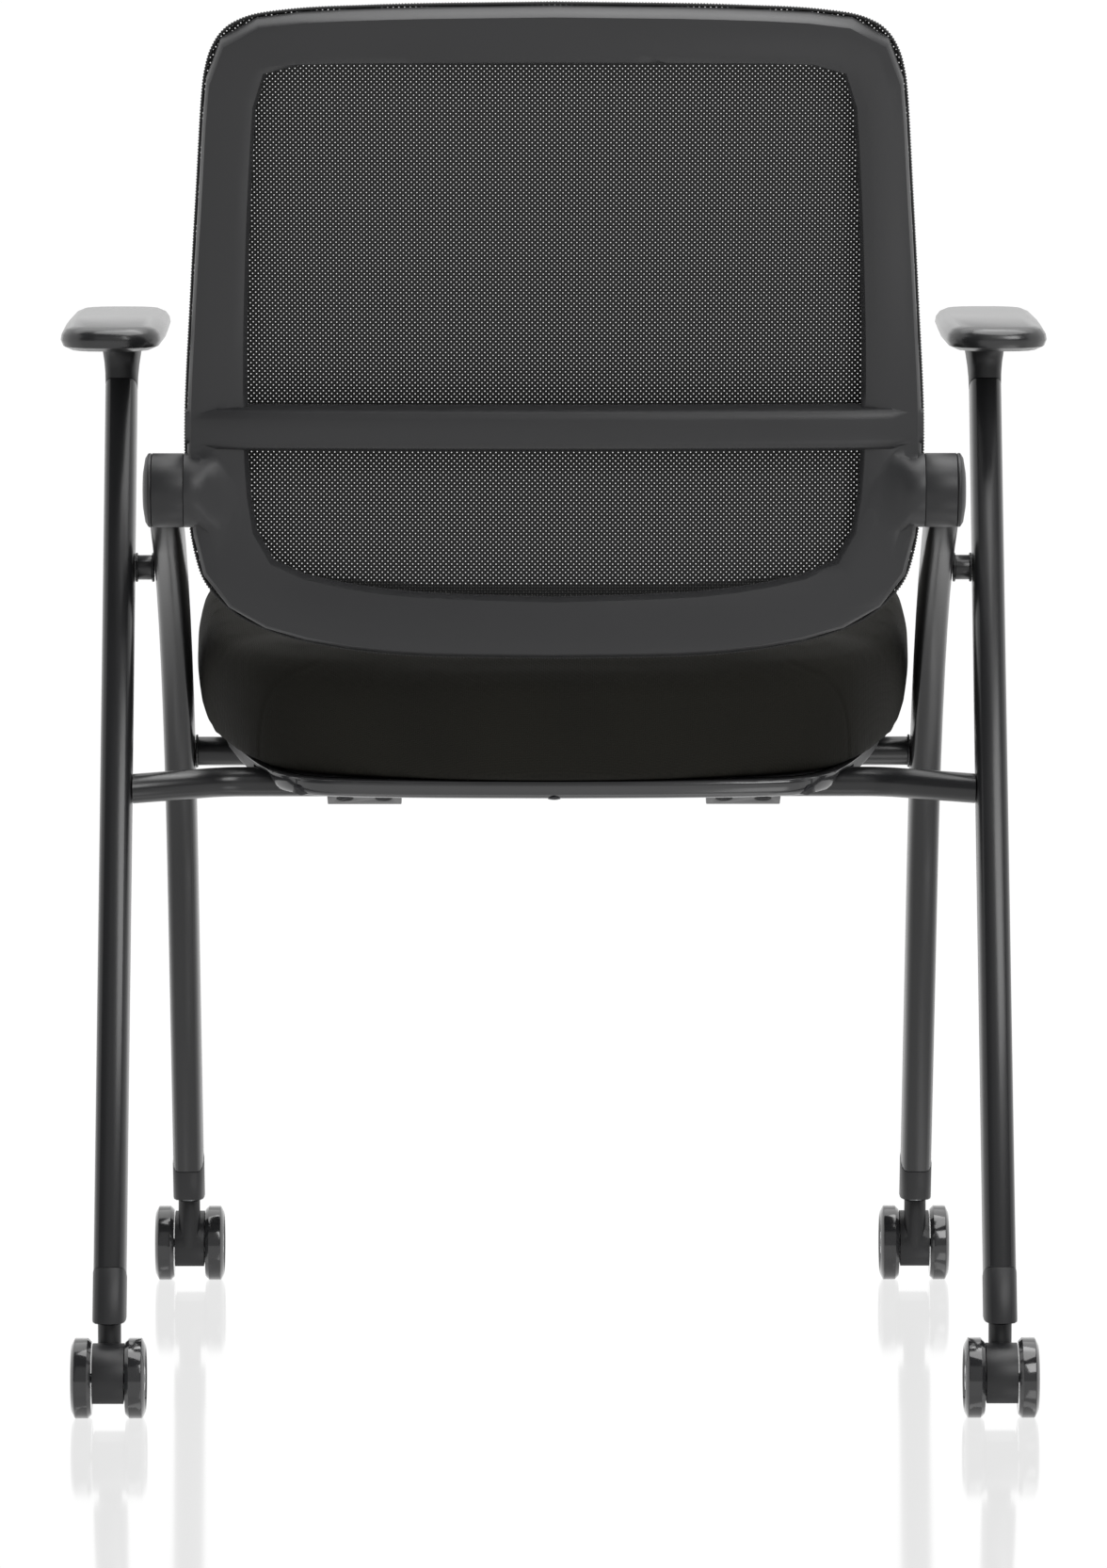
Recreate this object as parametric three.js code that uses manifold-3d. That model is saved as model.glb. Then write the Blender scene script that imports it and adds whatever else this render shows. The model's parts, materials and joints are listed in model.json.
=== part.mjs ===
// Nesting chair with a mesh back, a flip-up seat and four twin-wheel casters.
// Millimetres. +Z is up, +Y is the way a sitter faces, +X is to the right seen from behind.
// The chair stands on z = 0, with the middle of its outline at x = 0 and y = 0.

import * as THREE from "three";
import { mergeVertices } from "three/addons/utils/BufferGeometryUtils.js";
import Module from "manifold-3d";

// Clearances and cutting
const GAP = 0.3; // between pieces that touch or run on each other
const OVERRUN = 5; // how far a cutting solid runs past what it cuts

// Widths that the others follow: the seat's pan sets the legs' and the back's places
const PAN_WIDTH = 436;
const CUSHION_BULGE = 16.6; // of the cushion's sides past the pan
const SEAT_SIDE_CLEARANCE = 1.4; // between cushion and inner leg
const TUBE_WIDTH = 20.4; // of the leg tubes, seen from the rear
const LEG_CLEARANCE = 12.8; // between an inner and an outer leg

// Stance, seen from the side: the rear wheels' axles are at y = 0 before the chair is centred
const WHEEL_BASE = 491; // rear axle to front axle
// Tracks, between the middles of the inner and of the outer legs
const INNER_TRACK = PAN_WIDTH + 2 * (CUSHION_BULGE + SEAT_SIDE_CLEARANCE) + TUBE_WIDTH;
const OUTER_TRACK = INNER_TRACK + 2 * (TUBE_WIDTH + LEG_CLEARANCE);

// Casters
const WHEEL_DIAMETER = 50;
const WHEEL_WIDTH = 12.8;
const CASTER_WIDTH = 46.8; // over both wheels
const CASTER_TRAIL = 15; // from stem to axle
const WHEEL_EDGE_RADIUS = 2.4;
const WHEEL_DISH_DEPTH = 2.2;
const WHEEL_HUB_DIAMETER = 17;
const AXLE_DIAMETER = 6;
const HOUSING_CLEARANCE = 0.7; // between housing and wheel
const HOUSING_DIAMETER = 44;
const HOUSING_BOTTOM = 12; // height of its flat underside
const NECK_DIAMETER = 14.6;
const STEM_DIAMETER = 11;
const COLLAR_DIAMETER = 14;
const STEM_DEPTH = 18; // of the stem in its sleeve

// Leg tubes
const TUBE_DEPTH = 35;
const TUBE_WALL = 1.5;
const TUBE_FLAT = 12; // flat stretch of the front and rear faces
const SLEEVE_BOTTOM = 60; // height above the floor
const SLEEVE_TOP = 86.5;
const SLEEVE_PROUD = 0.3; // how far a sleeve stands proud of its tube
const PLUG_LENGTH = 12;
const OUTER_LEG_LEAN = 23.7; // degrees forward of upright
const OUTER_LEG_TOP = 626;
const INNER_LEG_LEAN = 19.8; // degrees back from upright, below the arc
const INNER_LEG_SWEEP = 65; // degrees back from upright, at the drum
const INNER_LEG_RADIUS = 430;

// Cross tubes
const BAR_DIAMETER = 19;
const BAR_WALL = 1.5;
const FRONT_BAR_HEIGHT = 378.5;
const REAR_BAR_HEIGHT = 377.7;
const REAR_BAR_BOW = 37; // how far its middle lies in front of its ends
const REAR_BAR_CORNER = 6; // of its bend inside the pan's edge
const REAR_BAR_STRAIGHT = PAN_WIDTH - 2 * REAR_BAR_CORNER; // between the corners of its bends
const REAR_BAR_BEND_RADIUS = 45;
const SPACER_DIAMETER = 16;
const SPACER_DROP = 2.8; // under the place where the legs cross

// Arms
const PAD_LENGTH = 212;
const PAD_WIDTH = 64;
const PAD_THICKNESS = 15.3;
const PAD_CORNER_RADIUS = 25;
const PAD_BOTTOM = 655.5;
const PAD_REAR = 168; // in front of the rear axle
const PAD_OFFSET = 3.6; // of the pad's middle outside the leg's
const POST_TOP_WIDTH = 27;
const POST_TOP_LENGTH = 78;

// Tilt drums
const DRUM_DIAMETER = 46.8;
const DRUM_WIDTH = 20;
const DRUM_OFFSET = 2.8; // of its middle inside the inner leg's
const DRUM_INNER_FACE = (INNER_TRACK - DRUM_WIDTH) / 2 - DRUM_OFFSET; // from the chair's middle
const DRUM_WALL = 3.2;
const DRUM_AXIS_REACH = 103; // in front of the rear axle
const DRUM_AXIS_HEIGHT = 573.4;
const CAP_DOME = 5.8;
const SPINDLE_DIAMETER = 10;
const SPINDLE_SEAT = 18; // length of the spindle in the back's boss
const SPRING_WIRE = 3.4;
const SPRING_DIAMETER = 28; // to the middle of the wire
const SPRING_TURNS = 2.5;
const SPRING_PITCH = 3.8;

// Back
const BACK_CLEARANCE = 2.4; // between its widest place and the drums' inner faces
const BACK_WIDTH = 2 * (DRUM_INNER_FACE - BACK_CLEARANCE);
const BACK_DROP = 104.4; // of its lower edge under the drum axis
const BACK_RISE = 305.2; // of its upper edge over the drum axis, along its middle surface
const BACK_BOTTOM = DRUM_AXIS_HEIGHT - BACK_DROP;
const BACK_TOP = DRUM_AXIS_HEIGHT + BACK_RISE;
const BACK_DEPTH = 18; // thickness of the moulded frame
const BACK_PLAN_BOW = 12; // how far the sides come forward of the middle
const BACK_BEND_DROP = 13.4; // how far under the drum axis the frame starts to lean back
const BACK_BEND_START = DRUM_AXIS_HEIGHT - BACK_BEND_DROP;
const BACK_BEND_RADIUS = 500;
const BACK_LEAN = 18; // degrees, above the bend
const STILE_WIDTH = 38.2; // of the frame beside the window
const LOWER_BORDER = 37.8;
const UPPER_BORDER = 32.8;
const WINDOW_WIDTH = BACK_WIDTH - 2 * STILE_WIDTH;
const WINDOW_BOTTOM = BACK_BOTTOM + LOWER_BORDER;
const WINDOW_TOP = BACK_TOP - UPPER_BORDER;
const RAIL_HEIGHT = 27;
const RAIL_RISE = 41; // of its middle over the drum axis
const RAIL_MIDDLE = DRUM_AXIS_HEIGHT + RAIL_RISE;
const RAIL_PROUD = 1; // of its ends past the frame's sides
const RAIL_WIDTH = BACK_WIDTH + 2 * RAIL_PROUD;
const RAIL_REAR = 15; // behind the frame's middle surface
const RAIL_FRONT = 4;
const BOSS_STRAIGHT = 9;
const BOSS_BLEND = 26; // length over which the boss runs out into the frame
const BOSS_FOOT_HEIGHT = 74;
const MESH_THICKNESS = 1.2;
const MESH_LIFT = 0.6; // of the stretched mesh off the frame's front face
const MESH_OVERLAP = 1; // of the mesh past the frame's outline
const EDGING_WIDTH = 1.8;
const EDGING_DEPTH = 1.6;

// Seat, in its own frame: y forward and z up from the rear bar's axis, before the seat's tilt
const SEAT_TILT = 4; // degrees, front up
const SEAT_REAR = 64; // pan's rear edge behind the hinge axis
const PAN_LENGTH = 428;
const PAN_BOTTOM = 1.3;
const PAN_HEIGHT = 10.7;
const PAN_FLOOR = 2.8;
const PAN_RIM = 3.2;
const PAN_EDGE_ROUND = 3;
const PAN_RIB = 2.4;
const PAN_RIB_HEIGHT = 5;
const PAN_RIB_LENGTH = 300;
const RIM_RECESS_DIAMETER = 11;
const RIM_RECESS_DEPTH = 5;
const RIM_RECESS_EDGE = 59; // of the outer recesses from the pan's sides
const RIM_RECESS_SPACING = PAN_WIDTH / 2 - RIM_RECESS_EDGE;
const RIM_RECESS_INSET = 12; // of the recess middle from the pan's rear edge
const BOARD_THICKNESS = 10;
const BOARD_INSET = 26;
const CUSHION_HEIGHT = 74; // from the pan to the shoulder
const CUSHION_CROWN = 8;

// Hinge clamps and seat buffers
const CLAMP_WIDTH = 47.4;
const CLAMP_EDGE_REACH = 96.5; // of their middles from the pan's sides
const CLAMP_SPACING = PAN_WIDTH - 2 * CLAMP_EDGE_REACH; // between their middles
const CLAMP_REAR = 26; // behind the hinge axis
const CLAMP_FRONT = 17;
const CLAMP_UNDER = 4; // thickness under the bar
const CLAMP_EDGE = 3.6; // thickness at the flange's edge
const CLAMP_SCREW_SPACING = 24.8;
const CLAMP_SCREW_SETBACK = 17.5;
const CLAMP_SCREW_DIAMETER = 5;
const CLAMP_SCREW_HEAD = 9;
const CLAMP_SCREW_HEAD_HEIGHT = 3;
const CLAMP_SCREW_RECESS = 11;
const CLAMP_SCREW_REACH = 7; // of the shank into the pan's saddle
const BUFFER_EDGE_REACH = 68; // of their middles from the pan's sides
const BUFFER_SPACING = PAN_WIDTH - 2 * BUFFER_EDGE_REACH;
const BUFFER_WIDTH = 24;
const BUFFER_LENGTH = 20;
const BUFFER_ROOM = 12.8; // between a buffer and the pan's outermost rib
const PAN_RIB_SPACING = ((BUFFER_SPACING - BUFFER_WIDTH - PAN_RIB) / 2 - BUFFER_ROOM) / 2;

// Facets
const TUBE_STEPS = 3; // in a quarter of the leg tube's section
const ARC_STEPS = 8; // along the inner leg's arc
const ROUND_SIDES = 24; // of a wheel or drum
const PIN_SIDES = 16; // of a bar, stem, axle or hole
const BACK_STATIONS = 30; // along half of the back's outline
const SEAT_STATIONS = 24; // along half of the seat's outline
const SPRING_SIDES = 6;
const SPRING_STEPS = 8; // in one turn
const CROSSING_STEPS = 40; // halvings in the search for the height where the legs cross

// Outline of the back, right half from top to bottom, as shares of its half width and height
const backOutlineShares = [
  [0, 1], [0.35, 0.9975], [0.52, 0.9945], [0.63, 0.992], [0.715, 0.988], [0.8, 0.981], [0.853, 0.97],
  [0.885, 0.957], [0.909, 0.938], [0.928, 0.91], [0.942, 0.86], [0.96, 0.72], [0.98, 0.56], [1, 0.37],
  [0.996, 0.24], [0.975, 0.155], [0.935, 0.102], [0.835, 0.054], [0.66, 0.022], [0.4, 0.004], [0, 0],
];
// Outline of the window in the same way, as shares of its own half width and height
const windowOutlineShares = [
  [0, 1], [0.45, 0.999], [0.84, 0.996], [0.925, 0.981], [0.955, 0.935], [0.968, 0.86], [0.985, 0.7],
  [0.998, 0.5], [1, 0.36], [0.996, 0.24], [0.98, 0.145], [0.945, 0.085], [0.87, 0.053],
  [0.72, 0.029], [0.45, 0.009], [0, 0],
];
// Outline of the seat pan, right half from rear to front, as shares of its half width and length
const seatOutlineShares = [
  [0, 0], [0.36, 0.004], [0.6, 0.014], [0.72, 0.03], [0.8, 0.066], [0.86, 0.13], [0.925, 0.25],
  [0.98, 0.4], [1, 0.56], [0.995, 0.74], [0.965, 0.87], [0.9, 0.945], [0.78, 0.982], [0.55, 0.996],
  [0, 1],
];
// Section of the back frame from its outer edge to the window: shares of its width and half depth
const backSectionShares = [
  [0, 0.15], [0.02, -0.55], [0.07, -0.92], [0.3, -1], [0.7, -1], [0.93, -0.85], [1, -0.4],
  [1, 0.6], [0.9, 1], [0.1, 1], [0, 0.75],
];
// Cushion side from pan to top: shares of its height and of its bulge
const cushionSideShares = [
  [0, -0.2], [0.06, 0.3], [0.28, 0.78], [0.66, 1], [0.84, 0.84], [0.94, 0.36], [0.98, -0.3],
];
const cushionTopShares = [0.86, 0.62, 0.32]; // of the shoulder's outline, ring by ring to the middle
const padSideShares = [
  [0, 0.78], [0.16, 0.95], [0.42, 1], [0.66, 0.98], [0.88, 0.9], [1, 0.76],
]; // of the pad's height, and of its half width
const RAIL_END_SHARE = 0.55; // of the rail's reach to the rear, lost at its ends
const RAIL_END_TAPER_SHARE = 0.25; // of the rail's height, lost at its ends
const PAD_BOW_SHARE = 0.02; // of the pad's width, by which its long sides bow out
const railRoundShares = [
  [0, -0.5], [-0.72, -0.5], [-0.93, -0.4], [-1, -0.22], [-1, 0.24], [-0.9, 0.42], [-0.7, 0.5],
  [0, 0.5],
]; // of the rail's reach to the rear, and of its height

const wasm = await Module();
wasm.setup();

// Small helpers

const radians = (degrees) => (degrees * Math.PI) / 180;
const mix = (a, b, share) => a + (b - a) * share;

/** A closed BufferGeometry from points and triangles. */
function geometryOf(points, triangles) {
  const geometry = new THREE.BufferGeometry();
  const places = points.flatMap((p) => [p.x, p.y, p.z]);
  geometry.setAttribute("position", new THREE.Float32BufferAttribute(places, 3));
  geometry.setIndex(triangles.flat());
  return geometry;
}

/** A solid for joining and cutting. */
function solidOf(geometry) {
  const bare = geometry.clone();
  bare.deleteAttribute("normal");
  bare.deleteAttribute("uv");
  const merged = mergeVertices(bare);
  const mesh = new wasm.Mesh({
    numProp: 3,
    vertProperties: new Float32Array(merged.attributes.position.array),
    triVerts: new Uint32Array(merged.index.array),
  });
  return new wasm.Manifold(mesh);
}

/** A BufferGeometry of a solid. */
function geometryOfSolid(solid) {
  const mesh = solid.getMesh();
  const geometry = new THREE.BufferGeometry();
  const places = new Float32Array((mesh.vertProperties.length / mesh.numProp) * 3);
  for (let i = 0; i < places.length / 3; i++) {
    for (let k = 0; k < 3; k++) places[3 * i + k] = mesh.vertProperties[mesh.numProp * i + k];
  }
  geometry.setAttribute("position", new THREE.BufferAttribute(places, 3));
  geometry.setIndex(new THREE.BufferAttribute(new Uint32Array(mesh.triVerts), 1));
  return geometry;
}

/** The first geometry with the others cut away. */
function cut(geometry, ...tools) {
  return geometryOfSolid(tools.reduce((solid, tool) => solid.subtract(solidOf(tool)), solidOf(geometry)));
}

/** All geometries joined into one. */
function join(first, ...others) {
  return geometryOfSolid(others.reduce((solid, other) => solid.add(solidOf(other)), solidOf(first)));
}

/** What two geometries share. */
function shared(first, second) {
  return geometryOfSolid(solidOf(first).intersect(solidOf(second)));
}

/** The skin between closed rings of as many points each, run the way that faces out. */
function skin(rings, offset = 0) {
  const n = rings[0].length;
  const triangles = [];
  for (let r = 0; r + 1 < rings.length; r++) {
    for (let i = 0; i < n; i++) {
      const j = (i + 1) % n;
      const [a, b, c, d] = [r * n + i, r * n + j, (r + 1) * n + j, (r + 1) * n + i].map((v) => v + offset);
      triangles.push([a, b, c], [a, c, d]);
    }
  }
  return triangles;
}

/** The triangles that close a ring, fanned from its middle or cut by ear where it isn't convex. */
function lid(ring, flatten, offset, facing) {
  const faces = THREE.ShapeUtils.triangulateShape(ring.map(flatten), []);
  const faced = facing ? faces : faces.map(([a, b, c]) => [a, c, b]);
  return faced.map((face) => face.map((v) => v + offset));
}

/** A solid through rings. Its faces point out whichever way the rings run. */
function loft(rings, flatten) {
  const n = rings[0].length;
  const last = (rings.length - 1) * n;
  const triangles = skin(rings);
  const turn = THREE.ShapeUtils.area(rings[0].map(flatten)) > 0;
  const faces = [...triangles, ...lid(rings[0], flatten, 0, !turn), ...lid(rings.at(-1), flatten, last, turn)];
  return outward(geometryOf(rings.flat(), faces));
}

/** A tube with walls: outer rings, inner rings and the two end faces between them. */
function pipe(outer, inner) {
  const n = outer[0].length;
  const start = outer.length * n;
  const end = (outer.length - 1) * n;
  const triangles = [...skin(outer), ...skin(inner, start).map(([a, b, c]) => [a, c, b])];
  for (let i = 0; i < n; i++) {
    const j = (i + 1) % n;
    triangles.push([j, i, start + i], [j, start + i, start + j]);
    triangles.push([end + i, end + j, start + end + j], [end + i, start + end + j, start + end + i]);
  }
  return outward(geometryOf([...outer.flat(), ...inner.flat()], triangles));
}

/** The same mesh with its faces turned to point out, by the sign of its volume. */
function outward(geometry) {
  const place = geometry.attributes.position;
  const index = geometry.index.array;
  const corner = [0, 1, 2].map(() => new THREE.Vector3());
  let volume = 0;
  for (let i = 0; i < index.length; i += 3) {
    corner.forEach((v, k) => v.fromBufferAttribute(place, index[i + k]));
    volume += corner[0].dot(corner[1].clone().cross(corner[2]));
  }
  if (volume < 0) {
    for (let i = 0; i < index.length; i += 3) [index[i], index[i + 1]] = [index[i + 1], index[i]];
  }
  return geometry;
}

/** A box between two corners. */
function block(low, high) {
  const size = high.map((v, k) => v - low[k]);
  return new THREE.BoxGeometry(...size).translate(...low.map((v, k) => v + size[k] / 2));
}

/** A cylinder along X, Y or Z, from one end to the other. */
function rod(axis, diameter, from, to, sides = PIN_SIDES) {
  const geometry = new THREE.CylinderGeometry(diameter / 2, diameter / 2, to - from, sides);
  geometry.translate(0, (from + to) / 2, 0);
  if (axis === "x") geometry.rotateZ(-Math.PI / 2);
  if (axis === "z") geometry.rotateX(Math.PI / 2);
  return geometry;
}

/** A body of revolution about X. The profile holds [place along x, radius] and closes on itself. */
function turned(profile, sides = ROUND_SIDES) {
  const points = profile.map(([x, r]) => new THREE.Vector2(r, x));
  return outward(mergeVertices(stripped(new THREE.LatheGeometry(points, sides))).rotateZ(-Math.PI / 2));
}

/** A geometry with places and triangles only. */
function stripped(geometry) {
  geometry.deleteAttribute("normal");
  geometry.deleteAttribute("uv");
  return geometry;
}

/** Half an outline given in shares, as evenly spaced points, then mirrored to a closed ring. */
function outline(shares, halfWidth, low, height, stations) {
  const points = shares.map(([across, up]) => new THREE.Vector2(across * halfWidth, low + up * height));
  const half = new THREE.SplineCurve(points).getSpacedPoints(stations);
  half[0].x = 0;
  half[stations].x = 0;
  const left = half.slice(1, -1).reverse().map((p) => new THREE.Vector2(-p.x, p.y));
  return [...half, ...left];
}

/** The ring moved out by a distance, square to its own run. */
function grown(ring, distance) {
  const turn = Math.sign(THREE.ShapeUtils.area(ring));
  return ring.map((p, i) => {
    const before = ring[(i + ring.length - 1) % ring.length];
    const after = ring[(i + 1) % ring.length];
    const run = after.clone().sub(before).normalize();
    return new THREE.Vector2(p.x + run.y * distance * turn, p.y - run.x * distance * turn);
  });
}

/** A mesh of one piece. */
function piece(name, geometry, material) {
  const mesh = new THREE.Mesh(geometry, material);
  mesh.name = name;
  return mesh;
}

// Finishes

const finish = (color, roughness, metalness = 0) => new THREE.MeshStandardMaterial({ color, roughness, metalness });
const powderCoat = finish(0x1d1d1e, 0.42, 0.2);
const blackPlastic = finish(0x262628, 0.5);
const greyPlastic = finish(0x3c3c3d, 0.55);
const wheelPlastic = finish(0x17171a, 0.28);
const padPolymer = finish(0x2a2a2c, 0.4);
const meshFabric = finish(0x2b2b2b, 0.9);
const seatFabric = finish(0x1c1b19, 0.95);
const plywood = finish(0xb08a5a, 0.7);
const rubber = finish(0x1a1a1a, 0.85);
const steel = finish(0x8c8f93, 0.35, 0.9);

// Places that several pieces share

const OUTER_X = OUTER_TRACK / 2;
const INNER_X = INNER_TRACK / 2;
const REAR_STEM_Y = CASTER_TRAIL;
const FRONT_STEM_Y = WHEEL_BASE - CASTER_TRAIL;
const WHEEL_RADIUS = WHEEL_DIAMETER / 2;

/** Middle of the outer leg at a height. */
const outerLegY = (z) => REAR_STEM_Y + (z - SLEEVE_BOTTOM) * Math.tan(radians(OUTER_LEG_LEAN));

/** The inner leg's middle line: points and the direction in which it runs, from its foot to a distance. */
function innerLegLine(startHeight, stopShort) {
  const lean = radians(INNER_LEG_LEAN);
  const sweep = radians(INNER_LEG_SWEEP);
  const low = new THREE.Vector2(-Math.sin(lean), Math.cos(lean));
  const high = new THREE.Vector2(-Math.sin(sweep), Math.cos(sweep));
  const foot = new THREE.Vector2(FRONT_STEM_Y, SLEEVE_BOTTOM);
  const drum = new THREE.Vector2(DRUM_AXIS_REACH, DRUM_AXIS_HEIGHT);
  const between = drum.clone().sub(foot);
  const corner = foot.clone().addScaledVector(low, between.cross(high) / low.cross(high));
  const tangent = INNER_LEG_RADIUS * Math.tan((sweep - lean) / 2);
  const arcStart = corner.clone().addScaledVector(low, -tangent);
  const centre = arcStart.clone().add(new THREE.Vector2(-low.y, low.x).multiplyScalar(INNER_LEG_RADIUS));
  const start = foot.clone().addScaledVector(low, (startHeight - SLEEVE_BOTTOM) / low.y);
  const line = [{ at: start, run: low }];
  for (let i = 0; i <= ARC_STEPS; i++) {
    const turn = mix(lean, sweep, i / ARC_STEPS);
    const reach = new THREE.Vector2(Math.cos(turn), Math.sin(turn)).multiplyScalar(INNER_LEG_RADIUS);
    const at = centre.clone().add(reach);
    line.push({ at, run: new THREE.Vector2(-Math.sin(turn), Math.cos(turn)) });
  }
  line.push({ at: drum.addScaledVector(high, -stopShort), run: high });
  return line;
}

/** Middle of the inner leg at a height on its arc. */
function innerLegY(z) {
  const line = innerLegLine(SLEEVE_TOP, 0);
  const i = line.findIndex(({ at }) => at.y > z);
  const [a, b] = [line[i - 1].at, line[i].at];
  return mix(a.x, b.x, (z - a.y) / (b.y - a.y));
}

// Legs

/** The oval tube's section, wider or narrower by an offset: [across, fore and aft] points. */
function tubeSection(offset) {
  const flat = TUBE_FLAT / 2;
  const half = TUBE_WIDTH / 2 + offset;
  const reach = TUBE_DEPTH / 2 + offset;
  const round = reach - half / 2; // length of the rounded stretch, as an ellipse
  const points = [];
  for (const [side, face] of [[1, -1], [1, 1], [-1, 1], [-1, -1]]) {
    for (let i = 0; i <= TUBE_STEPS; i++) {
      const turn = (Math.PI / 2) * (side * face > 0 ? i / TUBE_STEPS : 1 - i / TUBE_STEPS);
      const across = flat + (half - flat) * Math.cos(turn);
      const along = reach - round + round * Math.sin(turn);
      points.push(new THREE.Vector2(side * across, face * along));
    }
  }
  return points;
}

/** The section set square to a run in the plane of the chair's side, at a point there. */
function ringAt(section, x, at, run) {
  return section.map((p) => new THREE.Vector3(x + p.x, at.x + p.y * run.y, at.y - p.y * run.x));
}

const sideways = (p) => new THREE.Vector2(p.x, p.y);
const fromSide = (p) => new THREE.Vector2(p.y, p.z);

function legTube(x, line) {
  const rings = (offset) => line.map(({ at, run }) => ringAt(tubeSection(offset), x, at, run));
  return pipe(rings(0), rings(-TUBE_WALL));
}

const outerRun = new THREE.Vector2(Math.sin(radians(OUTER_LEG_LEAN)), Math.cos(radians(OUTER_LEG_LEAN)));
const innerRun = new THREE.Vector2(-Math.sin(radians(INNER_LEG_LEAN)), Math.cos(radians(INNER_LEG_LEAN)));
const outerPoint = (z) => new THREE.Vector2(outerLegY(z), z);

function outerLeg(x) {
  const ends = [SLEEVE_TOP, OUTER_LEG_TOP];
  return legTube(x, ends.map((z) => ({ at: outerPoint(z), run: outerRun })));
}

function innerLeg(x) {
  const tube = legTube(x, innerLegLine(SLEEVE_TOP, DRUM_DIAMETER / 2 - OVERRUN));
  const drum = rod("x", DRUM_DIAMETER + 2 * GAP, x - TUBE_WIDTH, x + TUBE_WIDTH, ROUND_SIDES);
  return cut(tube, drum.translate(0, DRUM_AXIS_REACH, DRUM_AXIS_HEIGHT));
}

/** A plug that fills the tube from a point on, with a gap to its wall. */
function plug(x, at, run, length) {
  const section = tubeSection(-TUBE_WALL - GAP);
  const end = at.clone().addScaledVector(run, length);
  return loft([ringAt(section, x, at, run), ringAt(section, x, end, run)], sideways);
}

/** Foot sleeve: flat underside, top square to the leg, a plug in the tube and a bore for the stem. */
function footSleeve(x, stemY, run) {
  const section = tubeSection(SLEEVE_PROUD);
  const foot = new THREE.Vector2(stemY, SLEEVE_BOTTOM);
  const top = foot.clone().addScaledVector(run, (SLEEVE_TOP - SLEEVE_BOTTOM) / run.y - GAP);
  const below = foot.clone().addScaledVector(run, -TUBE_DEPTH);
  const shell = loft([ringAt(section, x, below, run), ringAt(section, x, top, run)], sideways);
  const peg = plug(x, top.clone().addScaledVector(run, -GAP), run, PLUG_LENGTH);
  const reach = TUBE_DEPTH * 2;
  const floor = block([x - reach, stemY - reach, SLEEVE_BOTTOM - reach], [x + reach, stemY + reach, SLEEVE_BOTTOM]);
  const boreTop = SLEEVE_BOTTOM + STEM_DEPTH + GAP;
  const bore = rod("z", STEM_DIAMETER + 2 * GAP, SLEEVE_BOTTOM - OVERRUN, boreTop).translate(x, stemY, 0);
  return cut(join(shell, peg), floor, bore);
}

// Cross tubes

/** A round tube along a path in plan, its end faces flat against planes at plus and minus an x. */
function roundTube(path, endX) {
  const outer = [];
  const inner = [];
  path.forEach((at, i) => {
    const before = path[Math.max(i - 1, 0)];
    const after = path[Math.min(i + 1, path.length - 1)];
    const run = after.clone().sub(before).normalize();
    const side = new THREE.Vector3(-run.y, run.x, 0);
    const ring = (radius) => [...Array(PIN_SIDES).keys()].map((k) => {
      const turn = (2 * Math.PI * (k + 1 / 2)) / PIN_SIDES;
      const out = side.clone().multiplyScalar(Math.cos(turn)).setZ(Math.sin(turn));
      return at.clone().addScaledVector(out, radius);
    });
    outer.push(ring(BAR_DIAMETER / 2));
    inner.push(ring(BAR_DIAMETER / 2 - BAR_WALL));
  });
  const tube = pipe(outer, inner);
  const middle = path[0];
  const reach = REAR_BAR_BOW + BAR_DIAMETER * 2;
  const low = [-endX, middle.y - reach, middle.z - BAR_DIAMETER];
  return shared(tube, block(low, [endX, middle.y + reach, middle.z + BAR_DIAMETER]));
}

function frontBar() {
  const y = innerLegY(FRONT_BAR_HEIGHT);
  const endX = INNER_X - TUBE_WIDTH / 2 - GAP;
  const path = [-1, 1].map((side) => new THREE.Vector3(side * (endX + OVERRUN), y, FRONT_BAR_HEIGHT));
  return roundTube(path, endX);
}

const HINGE_Y = outerLegY(REAR_BAR_HEIGHT) + REAR_BAR_BOW;

/** The rear bar: a straight middle, a bend at each side and a slanted run back to the leg. */
function rearBar() {
  const endX = OUTER_X - TUBE_WIDTH / 2 - GAP;
  const legY = outerLegY(REAR_BAR_HEIGHT);
  const cornerX = REAR_BAR_STRAIGHT / 2;
  const slant = new THREE.Vector2(endX - cornerX, legY - HINGE_Y).normalize();
  const half = [];
  const bend = Math.atan2(-slant.y, slant.x);
  const tangent = REAR_BAR_BEND_RADIUS * Math.tan(bend / 2);
  const bendSteps = ARC_STEPS / 2;
  for (let i = 0; i <= bendSteps; i++) {
    const turn = (bend * i) / bendSteps;
    const x = cornerX - tangent + REAR_BAR_BEND_RADIUS * Math.sin(turn);
    half.push(new THREE.Vector3(x, HINGE_Y - REAR_BAR_BEND_RADIUS * (1 - Math.cos(turn)), REAR_BAR_HEIGHT));
  }
  const past = endX - cornerX + BAR_DIAMETER;
  half.push(new THREE.Vector3(cornerX + past, HINGE_Y + (past * slant.y) / slant.x, REAR_BAR_HEIGHT));
  const left = half.map((p) => new THREE.Vector3(-p.x, p.y, p.z)).reverse();
  return roundTube([...left, ...half], endX);
}

/** The height at which the middles of an outer and an inner leg cross, seen from the side. */
function legCrossing() {
  let [low, high] = [SLEEVE_TOP, DRUM_AXIS_HEIGHT];
  for (let i = 0; i < CROSSING_STEPS; i++) {
    const middle = (low + high) / 2;
    if (innerLegY(middle) > outerLegY(middle)) low = middle;
    else high = middle;
  }
  return low;
}

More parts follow.
